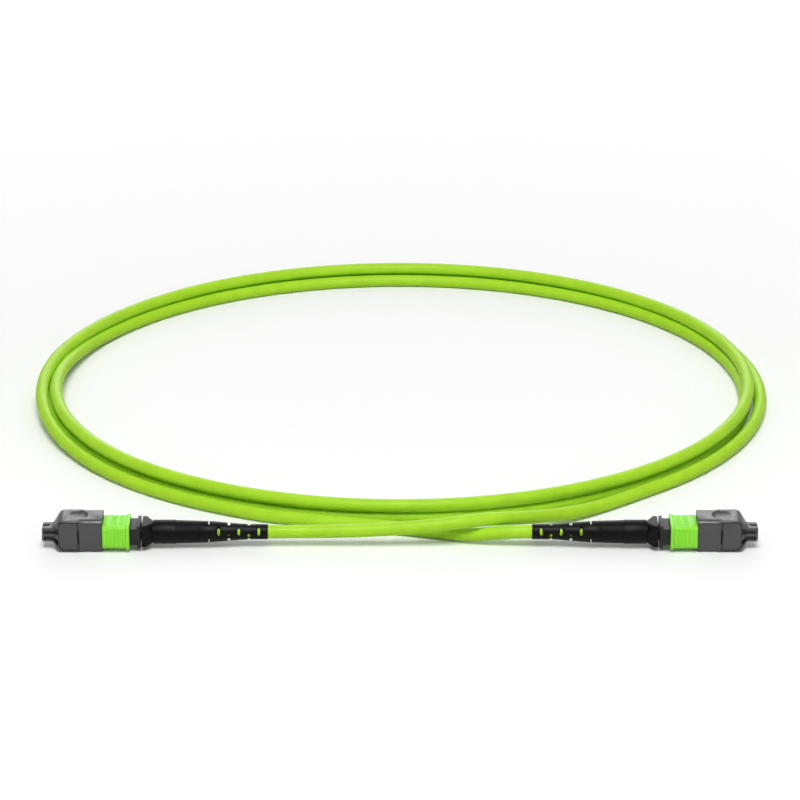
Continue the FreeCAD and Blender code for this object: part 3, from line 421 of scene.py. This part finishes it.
def moulded(name, colour, roughness, grain_mm, grain_height, specular=0.5):
    """A moulded plastic or rubber: one colour with faint mottling, and a fine grain from the
    mould."""
    material, tree = new_material(name)
    place = add_node(tree, "ShaderNodeTexCoord")
    mottle = add_node(
        tree,
        "ShaderNodeTexNoise",
        Vector=(place, "Object"),
        Scale=1 / (MOTTLE_MM * MM),
        Detail=3.0,
        Roughness=0.55,
    )
    shade = add_node(
        tree,
        "ShaderNodeMapRange",
        Value=(mottle, 0),
        From_Min=0.25,
        From_Max=0.75,
        To_Min=0.94,
        To_Max=1.06,
    )
    tone = add_node(
        tree,
        "ShaderNodeMix",
        {"data_type": "RGBA", "blend_type": "MULTIPLY"},
        i0=1.0,
        i6=(*colour, 1.0),
        i7=(shade, 0),
    )
    grain = add_node(
        tree,
        "ShaderNodeTexNoise",
        Vector=(place, "Object"),
        Scale=1 / (grain_mm * MM),
        Detail=2.0,
        Roughness=0.5,
    )
    bump = add_node(
        tree, "ShaderNodeBump", Height=(grain, 0), Strength=grain_height, Distance=BUMP_MM * MM
    )
    shader = add_node(
        tree,
        "ShaderNodeBsdfPrincipled",
        Base_Color=(tone, 2),
        Roughness=roughness,
        IOR=1.5,
        Specular_IOR_Level=specular,
        Normal=(bump, 0),
    )
    add_node(tree, "ShaderNodeOutputMaterial", Surface=(shader, 0))
    return material


def metal(name, hex_colour, roughness, grain_mm):
    """A drawn or stamped metal: fine lines along the plug's axis vary its gloss."""
    material, tree = new_material(name)
    place = add_node(tree, "ShaderNodeTexCoord")
    stretch = add_node(tree, "ShaderNodeMapping", Vector=(place, "Object"), Scale=(0.08, 1.0, 1.0))
    lines = add_node(
        tree,
        "ShaderNodeTexNoise",
        Vector=(stretch, 0),
        Scale=1 / (grain_mm * MM),
        Detail=2.0,
        Roughness=0.6,
    )
    gloss = add_node(
        tree,
        "ShaderNodeMapRange",
        Value=(lines, 0),
        To_Min=roughness * 0.7,
        To_Max=roughness * 1.3,
    )
    shader = add_node(
        tree,
        "ShaderNodeBsdfPrincipled",
        Base_Color=(*linear(hex_colour), 1.0),
        Metallic=1.0,
        Roughness=(gloss, 0),
    )
    add_node(tree, "ShaderNodeOutputMaterial", Surface=(shader, 0))
    return material


def material_of(name):
    """A finished material by its name."""
    return bpy.data.materials[name]


def seen_directly(tree):
    """A node that gives 1 for the camera's rays and for those that pass through something clear, and
    0 for the rest, glossy reflections among them."""
    path = add_node(tree, "ShaderNodeLightPath")
    return add_node(
        tree,
        "ShaderNodeMath",
        {"operation": "MAXIMUM"},
        i0=(path, "Is Camera Ray"),
        i1=(path, "Is Transmission Ray"),
    )


# ---------------------------------------------------------------- operators


class PATCHCORD_OT_materials(Operator):
    """Make the cord's materials and give them to the nodes that stay as they are"""

    bl_idname = "patchcord.materials"
    bl_label = "Materials"

    def execute(self, context):
        colours = context.scene.patchcord_colours
        # Extruded PVC: a smooth skin with a satin gloss and hardly any grain.
        moulded("Extruded PVC jacket", colours.jacket, 0.42, 0.9, 0.10, 0.2)
        # Moulded PBT: satin, from a lightly etched mould.
        moulded("Moulded PBT sleeve", colours.sleeve, 0.42, 0.25, 0.15)
        # Moulded polyethylene: dark grey, with an even, finely eroded grain that catches the light.
        moulded("Moulded polyethylene cap", colours.cap, 0.36, 0.22, 0.30, 0.9)
        # Thermoplastic elastomer: black, smooth, with a broad soft highlight.
        moulded("Moulded elastomer boot", colours.boot, 0.45, 0.3, 0.15, 0.2)
        # Moulded PEI: dense black with a satin face.
        moulded("Moulded PEI body", colours.body, 0.42, 0.25, 0.15, 0.2)
        # Glass-filled PPS: near black, with a dull speckle from the filler.
        moulded("Glass-filled PPS ferrule", linear("2E2F31"), 0.48, 0.12, 0.5)
        # Acrylate: smooth and glossy, with the pale tint of the ribbon.
        moulded("Acrylate ribbon coating", linear("BFD8DE"), 0.2, 1.0, 0.05)
        # Stamped stainless steel: bright, with fine rolling lines.
        metal("Stamped stainless steel", "C4C4C2", 0.32, 0.15)
        # Drawn spring steel: bright wire.
        metal("Drawn spring steel", "B8B8B8", 0.25, 0.08)
        # Nickel-plated brass: warm silver, with fine turning lines.
        metal("Nickel-plated brass", "C9C2B4", 0.28, 0.15)
        finish = {
            "cable_jacket": "Extruded PVC jacket",
            "sleeve_plastic": "Moulded PBT sleeve",
            "cap_plastic": "Moulded polyethylene cap",
            "housing_plastic": "Moulded PEI body",
            "push_plastic": "Moulded PEI body",
            "boot_rubber": "Moulded elastomer boot",
            "ferrule_plastic": "Glass-filled PPS ferrule",
            "keeper_metal": "Stamped stainless steel",
            "spring_steel": "Drawn spring steel",
            "crimp_metal": "Nickel-plated brass",
            "ribbon_coating": "Acrylate ribbon coating",
        }
        for part in frame["record"]["subparts"]:
            node = frame["nodes"][part["node"]]
            for slot in node.material_slots:
                slot.material = material_of(finish[part["material_slot"]])
        return {"FINISHED"}


class PATCHCORD_OT_cable(Operator):
    """Lay the cable: out of the left boot, twice and more round the coil, and to the right boot"""

    bl_idname = "patchcord.cable"
    bl_label = "Cable"

    def execute(self, context):
        cable = context.scene.patchcord_cable
        boot = context.scene.patchcord_boot
        route = [(-boot.tip, 0.0, boot.axis)]
        route += [tuple(MM * value for value in point) for point in LEFT_TAIL]
        route += self.coil(cable)
        route += [tuple(MM * value for value in point) for point in RIGHT_TAIL[::-1]]
        route.append((boot.tip, 0.0, boot.axis))
        curve = bpy.data.curves.new("fibre_cable", "CURVE")
        curve.dimensions = "3D"
        curve.resolution_u = 12
        curve.bevel_depth = cable.diameter / 2
        curve.bevel_resolution = 7
        spline = curve.splines.new("NURBS")
        spline.points.add(len(route) - 1)
        for point, place in zip(spline.points, route):
            point.co = (*place, 1.0)
        spline.order_u = 3
        spline.use_endpoint_u = True
        curve.materials.append(material_of("Extruded PVC jacket"))
        thing = bpy.data.objects.new("fibre_cable", curve)
        context.scene.collection.objects.link(thing)
        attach(thing, "cord")
        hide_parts("cable_coil", "cable_tail_left", "cable_tail_right")
        return {"FINISHED"}

    @staticmethod
    def coil(cable):
        """Control points of the coil. Its three strands lie as a loose triangle, which turns a
        third round at the left of the coil, so that each turn leads into the next one's place. The
        top strand leans inwards, but not at the back."""
        lift = cable.spacing / math.sqrt(3)
        middle = cable.coil_radius - cable.spacing / 2
        count = round((COIL_END_DEG - COIL_START_DEG) / COIL_STEP_DEG)
        step = (COIL_END_DEG - COIL_START_DEG) / count
        points = []
        for number in range(-1, count + 1):
            degrees = COIL_START_DEG + (number + 0.5) * step
            angle = math.radians(degrees)
            share = (degrees - TWIST_START_DEG) / 360
            whole = math.floor(share)
            part = min((share - whole) * 360 / TWIST_LENGTH_DEG, 1.0)
            part *= part * (3 - 2 * part)
            lowest = math.radians(FIRST_STRAND_DEG - STRAND_TURN_DEG * part)
            place = math.radians(FIRST_STRAND_DEG - STRAND_TURN_DEG * (whole + part))
            front = 1 - max(math.sin(angle), 0.0) ** 2
            inwards = (0.0, cable.table_gap, cable.top_lean * front)
            upwards = (0.0, 0.0, cable.top_lift * front)
            now, following = whole % STRANDS, (whole + 1) % STRANDS
            radius = middle + lift * math.cos(place)
            radius -= (1 - part) * inwards[now] + part * inwards[following]
            radius /= math.cos(math.radians(step / 2))
            height = cable.diameter / 2 - lift * math.sin(lowest) + lift * math.sin(place)
            height += (1 - part) * upwards[now] + part * upwards[following]
            points.append(
                (radius * math.cos(angle), cable.coil_centre + radius * math.sin(angle), height)
            )
        return points


class PATCHCORD_OT_boots(Operator):
    """Make the slotted boots with their square heads"""

    bl_idname = "patchcord.boots"
    bl_label = "Boots"

    def execute(self, context):
        boot = context.scene.patchcord_boot
        both_ends(
            lambda turn: self.make(boot, turn),
            "slotted_boot",
            material_of("Moulded elastomer boot"),
            "boot",
        )
        return {"FINISHED"}

    @staticmethod
    def make(boot, turn):
        base, bore = boot.base / MM, boot.bore / MM
        # place after the tip and diameter, both in millimetres
        tail = (
            (0.0, 4.7),
            (0.1, 4.8),
            (6.6, 4.95),
            (9.0, 5.2),
            (12.6, 5.85),
            (15.6, 6.35),
            (18.9, 6.85),
            (22.2, 7.05),
            (29.3, base - 0.25),
            (29.5, base - 0.06),
            (29.65, base),
            (36.6, base),
            (36.65, base - 0.7),
            (36.85, base - 0.7),
        )
        # place after the tip, width, height and corner radius, all in millimetres
        head = (
            (36.95, 7.7, 6.85, 3.2),
            (37.6, 8.25, 7.02, 2.5),
            (38.5, 9.0, 7.25, 1.1),
            (38.75, 9.28, 7.33, 0.75),
            (38.9, 9.4, 7.35, 0.6),
            (40.05, 9.4, 7.35, 0.6),
            (40.16, 9.34, 7.29, 0.57),
            (40.2, 9.2, 7.15, 0.5),
        )
        # the room for the crimp ring in two steps, then the cable's bore, back to the tip
        inside = ((40.2, 6.3), (34.7, 6.3), (34.7, 5.7), (31.3, 5.7), (31.3, bore), (0.0, bore))
        stations = [(place, wide, wide, wide / 2) for place, wide in tail]
        stations += head
        stations += [(place, wide, wide, wide / 2) for place, wide in inside]
        loops = [
            across_x(outline(wide * MM, tall * MM, corner * MM, 12), boot.tip + place * MM, boot.axis)
            for place, wide, tall, corner in stations
        ]
        body = mesh_object("boot", skin(loops, ring=True))
        # the left boot is turned half round later, so its front is made at positive Y
        cutters = PATCHCORD_OT_boots.cutters(boot, 1 if turn else -1)
        return eased(combined(body, cutters, "DIFFERENCE"), 0.1 * MM, 50.0)

    @staticmethod
    def cutters(boot, front):
        """Cutters for the slits, which alternate between the sides and top and bottom. The last two
        are thin. A side slit has a round-ended window in its middle, and an upright one has a small
        window below its front. front is 1 or -1, the way along Y that the boot's front faces."""
        first_slit = 2.9 * MM
        slit_height, slit_corner = 12 * MM, 0.1 * MM
        window_height, low_window_height, window_corner = 2.4 * MM, 1.25 * MM, 0.42 * MM
        thin_width = 0.55 * boot.slit_width
        window_width = 0.9 * boot.slit_width
        reach = 6 * MM
        open_to = boot.slit_floor - 0.6 * MM
        blind = boot.slit_floor + 0.25 * MM
        slit = outline(boot.slit_width, slit_height, slit_corner, 3)
        thin = outline(thin_width, slit_height, slit_corner, 3)
        window = outline(window_width, window_height, window_corner, 5)
        low_window = outline(window_width, low_window_height, window_corner, 5)
        sides = (SLIT_TILT_DEG, SLIT_TILT_DEG + 180)
        upright = (SLIT_TILT_DEG + 90, SLIT_TILT_DEG - 90)
        low = (SLIT_TILT_DEG - 30, SLIT_TILT_DEG + 150)
        wide_count = boot.slit_count - 2
        side_count, upright_count = (wide_count + 1) // 2, wide_count // 2
        rubber = material_of("Moulded elastomer boot")
        cutters = []
        for name, rim, floor, count, first, angles in (
            ("side_slits", slit, blind, side_count, 0, sides),
            ("windows", window, open_to, side_count, 0, sides),
            ("upright_slits", slit, boot.slit_floor, upright_count, 1, upright),
            ("low_windows", low_window, open_to, upright_count, 1, low),
            ("thin_side_slits", thin, blind, 1, wide_count + 1, sides),
            ("thin_upright_slits", thin, blind, 1, wide_count, upright),
        ):
            cuts = []
            for angle in angles:
                ends = [across_y(rim, 0, front * y, 0) for y in (floor, reach)]
                cut = mesh_object("slit", skin(ends))
                cut.data.transform(Matrix.Rotation(front * math.radians(angle), 4, "X"))
                cuts.append(cut)
            start = boot.tip + first_slit + first * boot.slit_pitch
            place = Vector((start, 0, boot.axis))
            step = (2 * boot.slit_pitch, 0, 0)
            cutters.append(row(name, joined(cuts), count, step, place, rubber))
        return cutters


class PATCHCORD_OT_rear_bodies(Operator):
    """Make the black rear bodies with their flange, neck and insert"""

    bl_idname = "patchcord.rear_bodies"
    bl_label = "Rear bodies"

    def execute(self, context):
        boot = context.scene.patchcord_boot
        both_ends(
            lambda turn: self.make(boot.axis),
            "rear_body",
            material_of("Moulded PEI body"),
            "spring_push",
        )
        return {"FINISHED"}

    @staticmethod
    def make(axis):
        parts = []
        # width, height, corner radius, rear, front and rounding of the ends, all in millimetres, of
        # the flange, the neck, the insert and its key
        for sizes in (
            (10.0, 7.35, 0.45, 82.9, 83.9, 0.12),
            (10.0, 5.45, 0.3, 83.8, 87.3, 0.1),
            (7.4, 4.4, 0.15, 87.2, 90.4, 0.1),
            (2.8, 5.4, 0.1, 88.5, 90.1, 0.08),
        ):
            width, height, corner, low, high, soft = (size * MM for size in sizes)
            parts.append(mesh_object("part", block(width, height, corner, low, high, axis, soft)))
        # place and diameter of the barrel behind the flange, outside and then inside
        barrel = [
            across_x(outline(wide * MM, wide * MM, wide * MM / 2, 10), place * MM, axis)
            for place, wide in ((77.0, 4.9), (77.1, 5.0), (83.1, 5.0), (83.1, 3.5), (77.0, 3.5))
        ]
        parts.append(mesh_object("barrel", skin(barrel, ring=True)))
        return joined(parts)


class PATCHCORD_OT_sleeves(Operator):
    """Make the coloured coupling sleeves with their lip, raised panels and grip ribs"""

    bl_idname = "patchcord.sleeves"
    bl_label = "Coupling sleeves"

    def execute(self, context):
        sleeve = context.scene.patchcord_sleeve
        axis = context.scene.patchcord_boot.axis
        both_ends(
            lambda turn: self.make(sleeve, axis),
            "grip_sleeve",
            material_of("Moulded PBT sleeve"),
            "coupling_sleeve",
            body="sleeve",
        )
        return {"FINISHED"}

    @staticmethod
    def make(sleeve, axis):
        wide, tall = sleeve.width, sleeve.height
        bore_wide, bore_tall = 10.2 * MM, 6.2 * MM
        rear, front = sleeve.rear, sleeve.rear + sleeve.length
        lip_end = rear + sleeve.lip
        rise = 0.4 * MM
        corner = 0.8 * MM
        soft = 0.12 * MM
        plastic = material_of("Moulded PBT sleeve")
        # place, growth over the sleeve's width and height, and corner radius
        outside = (
            (rear, 2 * rise - 2 * soft, corner + rise - soft),
            (rear + 0.3 * soft, 2 * rise - 0.6 * soft, corner + rise),
            (rear + soft, 2 * rise, corner + rise),
            (lip_end - 2 * soft, 2 * rise, corner + rise),
            (lip_end - soft, 2 * rise - 0.6 * soft, corner + rise),
            (lip_end, 0.5 * rise, corner + rise / 4),
            (lip_end + soft, 0.0, corner),
            (front - soft, 0.0, corner),
            (front - 0.3 * soft, -0.6 * soft, corner),
            (front, -2 * soft, corner - soft),
        )
        loops = [
            across_x(outline(wide + growth, tall + growth, rounding), place, axis)
            for place, growth, rounding in outside
        ]
        loops += [
            across_x(outline(bore_wide, bore_tall, corner), place, axis) for place in (front, rear)
        ]
        parts = [mesh_object("sleeve", skin(loops, ring=True))]
        # a raised panel on each wide face, its edges sloped
        panel_long, panel_wide, panel_corner = 6.4 * MM, 8.8 * MM, 0.4 * MM
        panel_middle = lip_end + 3.45 * MM
        # two bands of fine cross bars on it, where such sleeves carry their printing
        bar_long, bar_wide, bar_tall = 1.7 * MM, 0.3 * MM, 0.14 * MM
        bar_count, bar_pitch, first_bar = 13, 0.6 * MM, -3.9 * MM
        for way in (1, -1):
            panel = []
            for inset, height in ((-0.1, -0.3), (0.0, 0.0), (0.12, 0.12), (0.2, 0.15)):
                less = 2 * inset * MM
                points = outline(panel_long - less, panel_wide - less, panel_corner, 3)
                level = axis + way * (tall / 2 + height * MM)
                panel.append([Vector((panel_middle + a, b, level)) for a, b in points])
            parts.append(mesh_object("panel", skin(panel)))
            top = axis + way * (tall / 2 + 0.17 * MM)
            for place in (1.5, 3.8):
                bar = mesh_object("bar", block(bar_long, bar_tall, 0.02 * MM, 0, bar_wide, 0))
                bar.data.transform(Matrix.Rotation(math.pi / 2, 4, "Z"))
                start = Vector((lip_end + place * MM, first_bar, top))
                parts.append(row("bars", bar, bar_count, (0, bar_pitch, 0), start, plastic))
        # grip ribs on each narrow side
        rib_tall = tall - 1.6 * corner
        rib_gap = 0.28 * MM
        first_rib = lip_end + sleeve.rib_pitch / 2 - 0.05 * MM
        for way in (1, -1):
            rib = []
            for inset, out in ((0.0, -0.2), (0.0, 0.04), (0.04, 0.11), (0.12, 0.14)):
                less = 2 * inset * MM
                points = outline(sleeve.rib_pitch - rib_gap - less, rib_tall - less, 0.2 * MM, 3)
                rib.append(across_y(points, 0, way * (wide / 2 + out * MM), axis))
            step = (sleeve.rib_pitch, 0, 0)
            place = Vector((first_rib, 0, 0))
            rib = mesh_object("rib", skin(rib))
            parts.append(row("ribs", rib, sleeve.rib_count, step, place, plastic))
        return joined(parts)


class PATCHCORD_OT_caps(Operator):
    """Make the dust caps: skirt, grip block with side pads, and ribbed nose"""

    bl_idname = "patchcord.caps"
    bl_label = "Dust caps"

    def execute(self, context):
        cap = context.scene.patchcord_cap
        axis = context.scene.patchcord_boot.axis
        both_ends(
            lambda turn: self.make(cap, axis),
            "moulded_cap",
            material_of("Moulded polyethylene cap"),
            "dust_cap",
            body="cap",
        )
        return {"FINISHED"}

    @staticmethod
    def make(cap, axis):
        rear = cap.rear
        skirt_end = rear + cap.skirt_length
        grip_end = skirt_end + cap.grip_length
        shoulder, slope = 2.0, 3.45
        nose_start = grip_end + shoulder * MM
        tip = nose_start + cap.nose_length
        grip_wide, grip_tall, grip_corner = 10.9, 10.3, 0.5
        nose_wide, nose_tall, nose_corner = 5.9, 4.5, 0.3
        grip_level = (0.45 + grip_tall / 2) * MM
        skirt_shape = block(
            cap.skirt_width,
            cap.skirt_height,
            1.6 * MM,
            rear,
            skirt_end,
            cap.skirt_height / 2,
            0.15 * MM,
            8,
        )
        # the grip block rolls over at the front into a slope that narrows to the nose. Each span has
        # a place, a width, a height and a corner radius, all in millimetres
        grip_at, nose_at, tip_at = grip_end / MM, nose_start / MM, tip / MM
        roll_radius, roll_deg = 2.6, 55.0
        roll_start = nose_at - slope
        spans = [
            (place, grip_wide, grip_tall, grip_corner)
            for place in (skirt_end / MM - 1, roll_start)
        ]
        for part in (0.2, 0.4, 0.6, 0.8, 1.0):
            angle = math.radians(roll_deg * part)
            place = roll_start + roll_radius * math.sin(angle)
            share = max(0.0, (place - grip_at) / shoulder)
            spans.append(
                (
                    place,
                    grip_wide - (grip_wide - nose_wide) * share,
                    grip_tall - 2 * roll_radius * (1 - math.cos(angle)),
                    grip_corner - (grip_corner - nose_corner) * share,
                )
            )
        spans += [
            (nose_at - 0.25, 6.45, 5.1, nose_corner),
            (nose_at - 0.05, 6.1, 4.7, nose_corner),
            (nose_at + 0.25, nose_wide, nose_tall, nose_corner),
            (tip_at - 0.6, nose_wide, nose_tall, nose_corner),
            (tip_at - 0.35, 5.8, 4.4, 0.35),
            (tip_at - 0.1, 5.5, 4.1, 0.4),
            (tip_at, 4.9, 3.5, nose_corner),
        ]
        loops = []
        for place, wide, tall, corner in spans:
            drop = (grip_level - axis) * max(0.0, min(1.0, (nose_at - place) / slope))
            points = outline(wide * MM, tall * MM, corner * MM, 3)
            loops.append(across_x(points, place * MM, axis + drop))
        body = mesh_object("skirt", skirt_shape)
        body = combined(body, [mesh_object("core", skin(loops))], "UNION")
        cutters = PATCHCORD_OT_caps.cutters(cap, axis, grip_level, nose_start, tip)
        body = eased(combined(body, cutters, "DIFFERENCE"), 0.1 * MM, 35.0)
        parts = [body]
        # a pad in the recess on each side, its edge rounded outwards
        pad_long, pad_tall = cap.grip_length - 0.7 * MM, 9.1 * MM
        pad_middle = skirt_end + 0.4 * MM + pad_long / 2
        for way in (1, -1):
            pad = []
            for inset, out in ((0.0, -0.6), (0.0, -0.12), (0.04, -0.04), (0.14, 0.0)):
                less = 2 * inset * MM
                corners = [max(radius - inset, 0.05) * MM for radius in (1.3, 0.4, 0.4, 2.0)]
                points = outline(pad_long - less, pad_tall - less, corners)
                face = way * (cap.grip_width / 2 + out * MM)
                pad.append(across_y(points, pad_middle, face, grip_level))
            parts.append(mesh_object("pad", skin(pad)))
        return joined(parts)

    @staticmethod
    def cutters(cap, axis, grip_level, nose_start, tip):
        """Cutters for the pockets and the slot of the nose, the recesses of the pads, the steps of the
        skirt, the dimple on top, and the hollow inside with its keyway."""
        rear = cap.rear
        skirt_end = rear + cap.skirt_length
        # how far cutters reach out of the open end, and how far from the axis to the sides
        past, beyond = 1 * MM, 6.5 * MM
        cutters = []
        # a pocket above and below the rib on each side of the nose and its shoulder
        rib_half, nose_half = 0.42 * MM, 1.6 * MM
        front = tip - 0.6 * MM
        shoulder = skirt_end + cap.grip_length + 0.05 * MM
        pocket = (
            (front, rib_half),
            (nose_start, rib_half),
            (shoulder, 0.85 * MM),
            (shoulder, 3.2 * MM),
            (nose_start, nose_half),
            (front, nose_half),
        )
        for way in (1, -1):
            for up in (1, -1):
                walls = [
                    [Vector((x, way * y, axis + up * z)) for x, z in pocket]
                    for y in (1.9 * MM, beyond)
                ]
                cutters.append(mesh_object("pocket", skin(walls)))
        # a slot in the top of the nose
        corners = (0.05 * MM, 0.7 * MM, 0.7 * MM, 0.05 * MM)
        rim = outline(3.4 * MM, 1.5 * MM, corners, 4)
        middle = tip - 0.9 * MM
        slot = [
            [Vector((middle + a, b, axis + up)) for a, b in rim] for up in (0.95 * MM, 3 * MM)
        ]
        cutters.append(mesh_object("slot", skin(slot)))
        # a recess in each side of the grip block, which its pad stands in
        corners = [radius * MM for radius in (1.5, 0.05, 0.05, 2.2)]
        rim = outline(cap.grip_length + 0.1 * MM, 9.7 * MM, corners)
        middle = skirt_end + cap.grip_length / 2 - 0.15 * MM
        for way in (1, -1):
            recess = [across_y(rim, middle, way * y, grip_level) for y in (4.85 * MM, beyond)]
            cutters.append(mesh_object("recess", skin(recess)))
        # a fine step along the skirt's edges, where its top and bottom plates end
        step_wide, step_tall, step_in = 0.22 * MM, 0.6 * MM, 1.55 * MM
        step_end = skirt_end + 0.01 * MM
        for way in (1, -1):
            for level in (0.0, cap.skirt_height):
                step = block(step_wide, step_tall, 0.05 * MM, rear - past, step_end, level)
                step = mesh_object("step", step)
                aside = way * (cap.skirt_width / 2 - step_in)
                step.data.transform(Matrix.Translation((0, aside, 0)))
                cutters.append(step)
        # the hollow that the plug stands in, and the keyway over it
        hollow_end, keyway_end = 104.8 * MM, 104.7 * MM
        hollow = block(9.7 * MM, 6.3 * MM, 0.8 * MM, rear - past, hollow_end, axis)
        cutters.append(mesh_object("hollow", hollow))
        keyway = block(3.3 * MM, 1.8 * MM, 0.1 * MM, rear - past, keyway_end, axis + 3 * MM)
        cutters.append(mesh_object("keyway", keyway))
        # a shallow oval dimple in the top of the skirt
        ball = bmesh.new()
        bmesh.ops.create_uvsphere(ball, u_segments=48, v_segments=24, radius=1.0)
        dimple = mesh_object("dimple", ball)
        dimple.data.transform(
            Matrix.Translation((rear + 7.8 * MM, 0, cap.skirt_height + 0.3 * MM))
            @ Matrix.Diagonal((3.35 * MM, 4 * MM, 1.1 * MM, 1))
        )
        cutters.append(dimple)
        return cutters


class PATCHCORD_OT_stage(Operator):
    """Set the pale floor, the soft light and the camera"""

    bl_idname = "patchcord.stage"
    bl_label = "Stage"

    def execute(self, context):
        scene = context.scene
        floor = self.floor()
        scene.world = self.world()
        lamps = [self.lamp(*facts) for facts in LAMPS]
        for lamp in lamps:
            scene.collection.objects.link(lamp)
        scene.camera = self.camera()
        scene.collection.objects.link(scene.camera)
        scene.view_settings.view_transform = "Standard"
        return {"FINISHED"}

    @staticmethod
    def floor():
        """A wide floor just under the cord."""
        material, tree = new_material("Pale studio floor")
        # matt paint, pale grey for the light that falls on it and white for the eye
        seen = seen_directly(tree)
        colour = add_node(
            tree, "ShaderNodeMix", {"data_type": "RGBA"}, i0=(seen, 0), i6=FLOOR_GREY, i7=WHITE
        )
        paint = add_node(tree, "ShaderNodeBsdfDiffuse", Color=(colour, 2))
        # a glow that only those rays meet keeps the far floor white and lights nothing. It grows with
        # the distance from the floor's middle, in metres
        place = add_node(tree, "ShaderNodeTexCoord")
        reach = add_node(
            tree, "ShaderNodeVectorMath", {"operation": "LENGTH"}, i0=(place, "Object")
        )
        far = add_node(
            tree,
            "ShaderNodeMapRange",
            Value=(reach, "Value"),
            From_Min=0.25,
            From_Max=1.1,
            To_Min=0.03,
            To_Max=0.45,
        )
        level = add_node(
            tree, "ShaderNodeMath", {"operation": "MULTIPLY"}, i0=(seen, 0), i1=(far, 0)
        )
        glow = add_node(tree, "ShaderNodeEmission", Color=WHITE, Strength=(level, 0))
        both = add_node(tree, "ShaderNodeAddShader", i0=(paint, 0), i1=(glow, 0))
        add_node(tree, "ShaderNodeOutputMaterial", Surface=(both, 0))
        bm = bmesh.new()
        bmesh.ops.create_grid(bm, x_segments=1, y_segments=1, size=FLOOR_HALF_WIDTH)
        floor = mesh_object("floor", bm)
        floor.data.transform(Matrix.Translation((0, 0, -FLOOR_DROP)))
        floor.data.materials.append(material)
        return floor

    @staticmethod
    def world():
        """A studio that looks white, and lights the cord dimly from the front and more strongly from
        above and behind."""
        world = bpy.data.worlds.new("Studio")
        world.use_nodes = True
        tree = world.node_tree
        tree.nodes.clear()
        seen = seen_directly(tree)
        # the light's strength grows as its direction nears one that points up and back
        way = add_node(tree, "ShaderNodeTexCoord")
        facing = add_node(
            tree,
            "ShaderNodeVectorMath",
            {"operation": "DOT_PRODUCT"},
            i0=(way, "Generated"),
            i1=(0.0, 0.6, 0.8),
        )
        dim = add_node(
            tree,
            "ShaderNodeMapRange",
            Value=(facing, "Value"),
            From_Min=-0.5,
            From_Max=1.0,
            To_Min=0.12,
            To_Max=0.4,
        )
        level = add_node(
            tree, "ShaderNodeMix", {"data_type": "FLOAT"}, i0=(seen, 0), i2=(dim, 0), i3=1.0
        )
        light = add_node(tree, "ShaderNodeBackground", Color=WHITE, Strength=(level, 0))
        add_node(tree, "ShaderNodeOutputWorld", Surface=(light, 0))
        return world

    @staticmethod
    def lamp(name, place, size, power):
        """A square lamp that faces the cord."""
        light = bpy.data.lights.new(name, "AREA")
        light.shape = "SQUARE"
        light.size = size
        light.energy = power
        lamp = bpy.data.objects.new(name, light)
        lamp.location = place
        lamp.rotation_euler = (LAMP_TARGET - Vector(place)).to_track_quat("-Z", "Y").to_euler()
        return lamp

    @staticmethod
    def camera():
        """A camera with a long lens, a little above the cord."""
        tilt = math.radians(CAMERA_TILT_DEG)
        lens = bpy.data.cameras.new("camera")
        lens.lens = CAMERA_LENS_MM
        lens.sensor_width = CAMERA_SENSOR_MM
        lens.clip_start = 0.01
        camera = bpy.data.objects.new("camera", lens)
        away = Vector((0, -math.cos(tilt), math.sin(tilt)))
        camera.location = CAMERA_TARGET + CAMERA_DISTANCE * away
        camera.rotation_euler = (math.pi / 2 - tilt, 0, 0)
        return camera


class PATCHCORD_PT_sidebar(Panel):
    """Sizes, colours and steps of the patch cord"""

    bl_idname = "PATCHCORD_PT_sidebar"
    bl_label = "Patch Cord"
    bl_space_type = "VIEW_3D"
    bl_region_type = "UI"
    bl_category = "Patch Cord"

    def draw(self, context):
        scene = context.scene
        for label, group in (
            ("Cable", scene.patchcord_cable),
            ("Boot", scene.patchcord_boot),
            ("Sleeve", scene.patchcord_sleeve),
            ("Cap", scene.patchcord_cap),
            ("Colours", scene.patchcord_colours),
        ):
            section = self.layout.box()
            section.label(text=label)
            for name in type(group).__annotations__:
                section.prop(group, name)
        steps = self.layout.column(align=True)
        for operator in OPERATORS:
            steps.operator(operator.bl_idname)


GROUPS = {
    "patchcord_cable": PatchCordCable,
    "patchcord_boot": PatchCordBoot,
    "patchcord_sleeve": PatchCordSleeve,
    "patchcord_cap": PatchCordCap,
    "patchcord_colours": PatchCordColours,
}
OPERATORS = (
    PATCHCORD_OT_materials,
    PATCHCORD_OT_cable,
    PATCHCORD_OT_boots,
    PATCHCORD_OT_rear_bodies,
    PATCHCORD_OT_sleeves,
    PATCHCORD_OT_caps,
    PATCHCORD_OT_stage,
)


def register():
    for name, group in GROUPS.items():
        bpy.utils.register_class(group)
        setattr(bpy.types.Scene, name, PointerProperty(type=group))
    for kind in (*OPERATORS, PATCHCORD_PT_sidebar):
        bpy.utils.register_class(kind)


def unregister():
    for kind in (PATCHCORD_PT_sidebar, *reversed(OPERATORS)):
        bpy.utils.unregister_class(kind)
    for name, group in reversed(GROUPS.items()):
        delattr(bpy.types.Scene, name)
        bpy.utils.unregister_class(group)


def main():
    register()
    # the materials come first, because the other operators look them up by name
    bpy.ops.patchcord.materials()
    bpy.ops.patchcord.cable()
    bpy.ops.patchcord.boots()
    bpy.ops.patchcord.rear_bodies()
    bpy.ops.patchcord.sleeves()
    bpy.ops.patchcord.caps()
    bpy.ops.patchcord.stage()


if __name__ == "__main__":
    main()
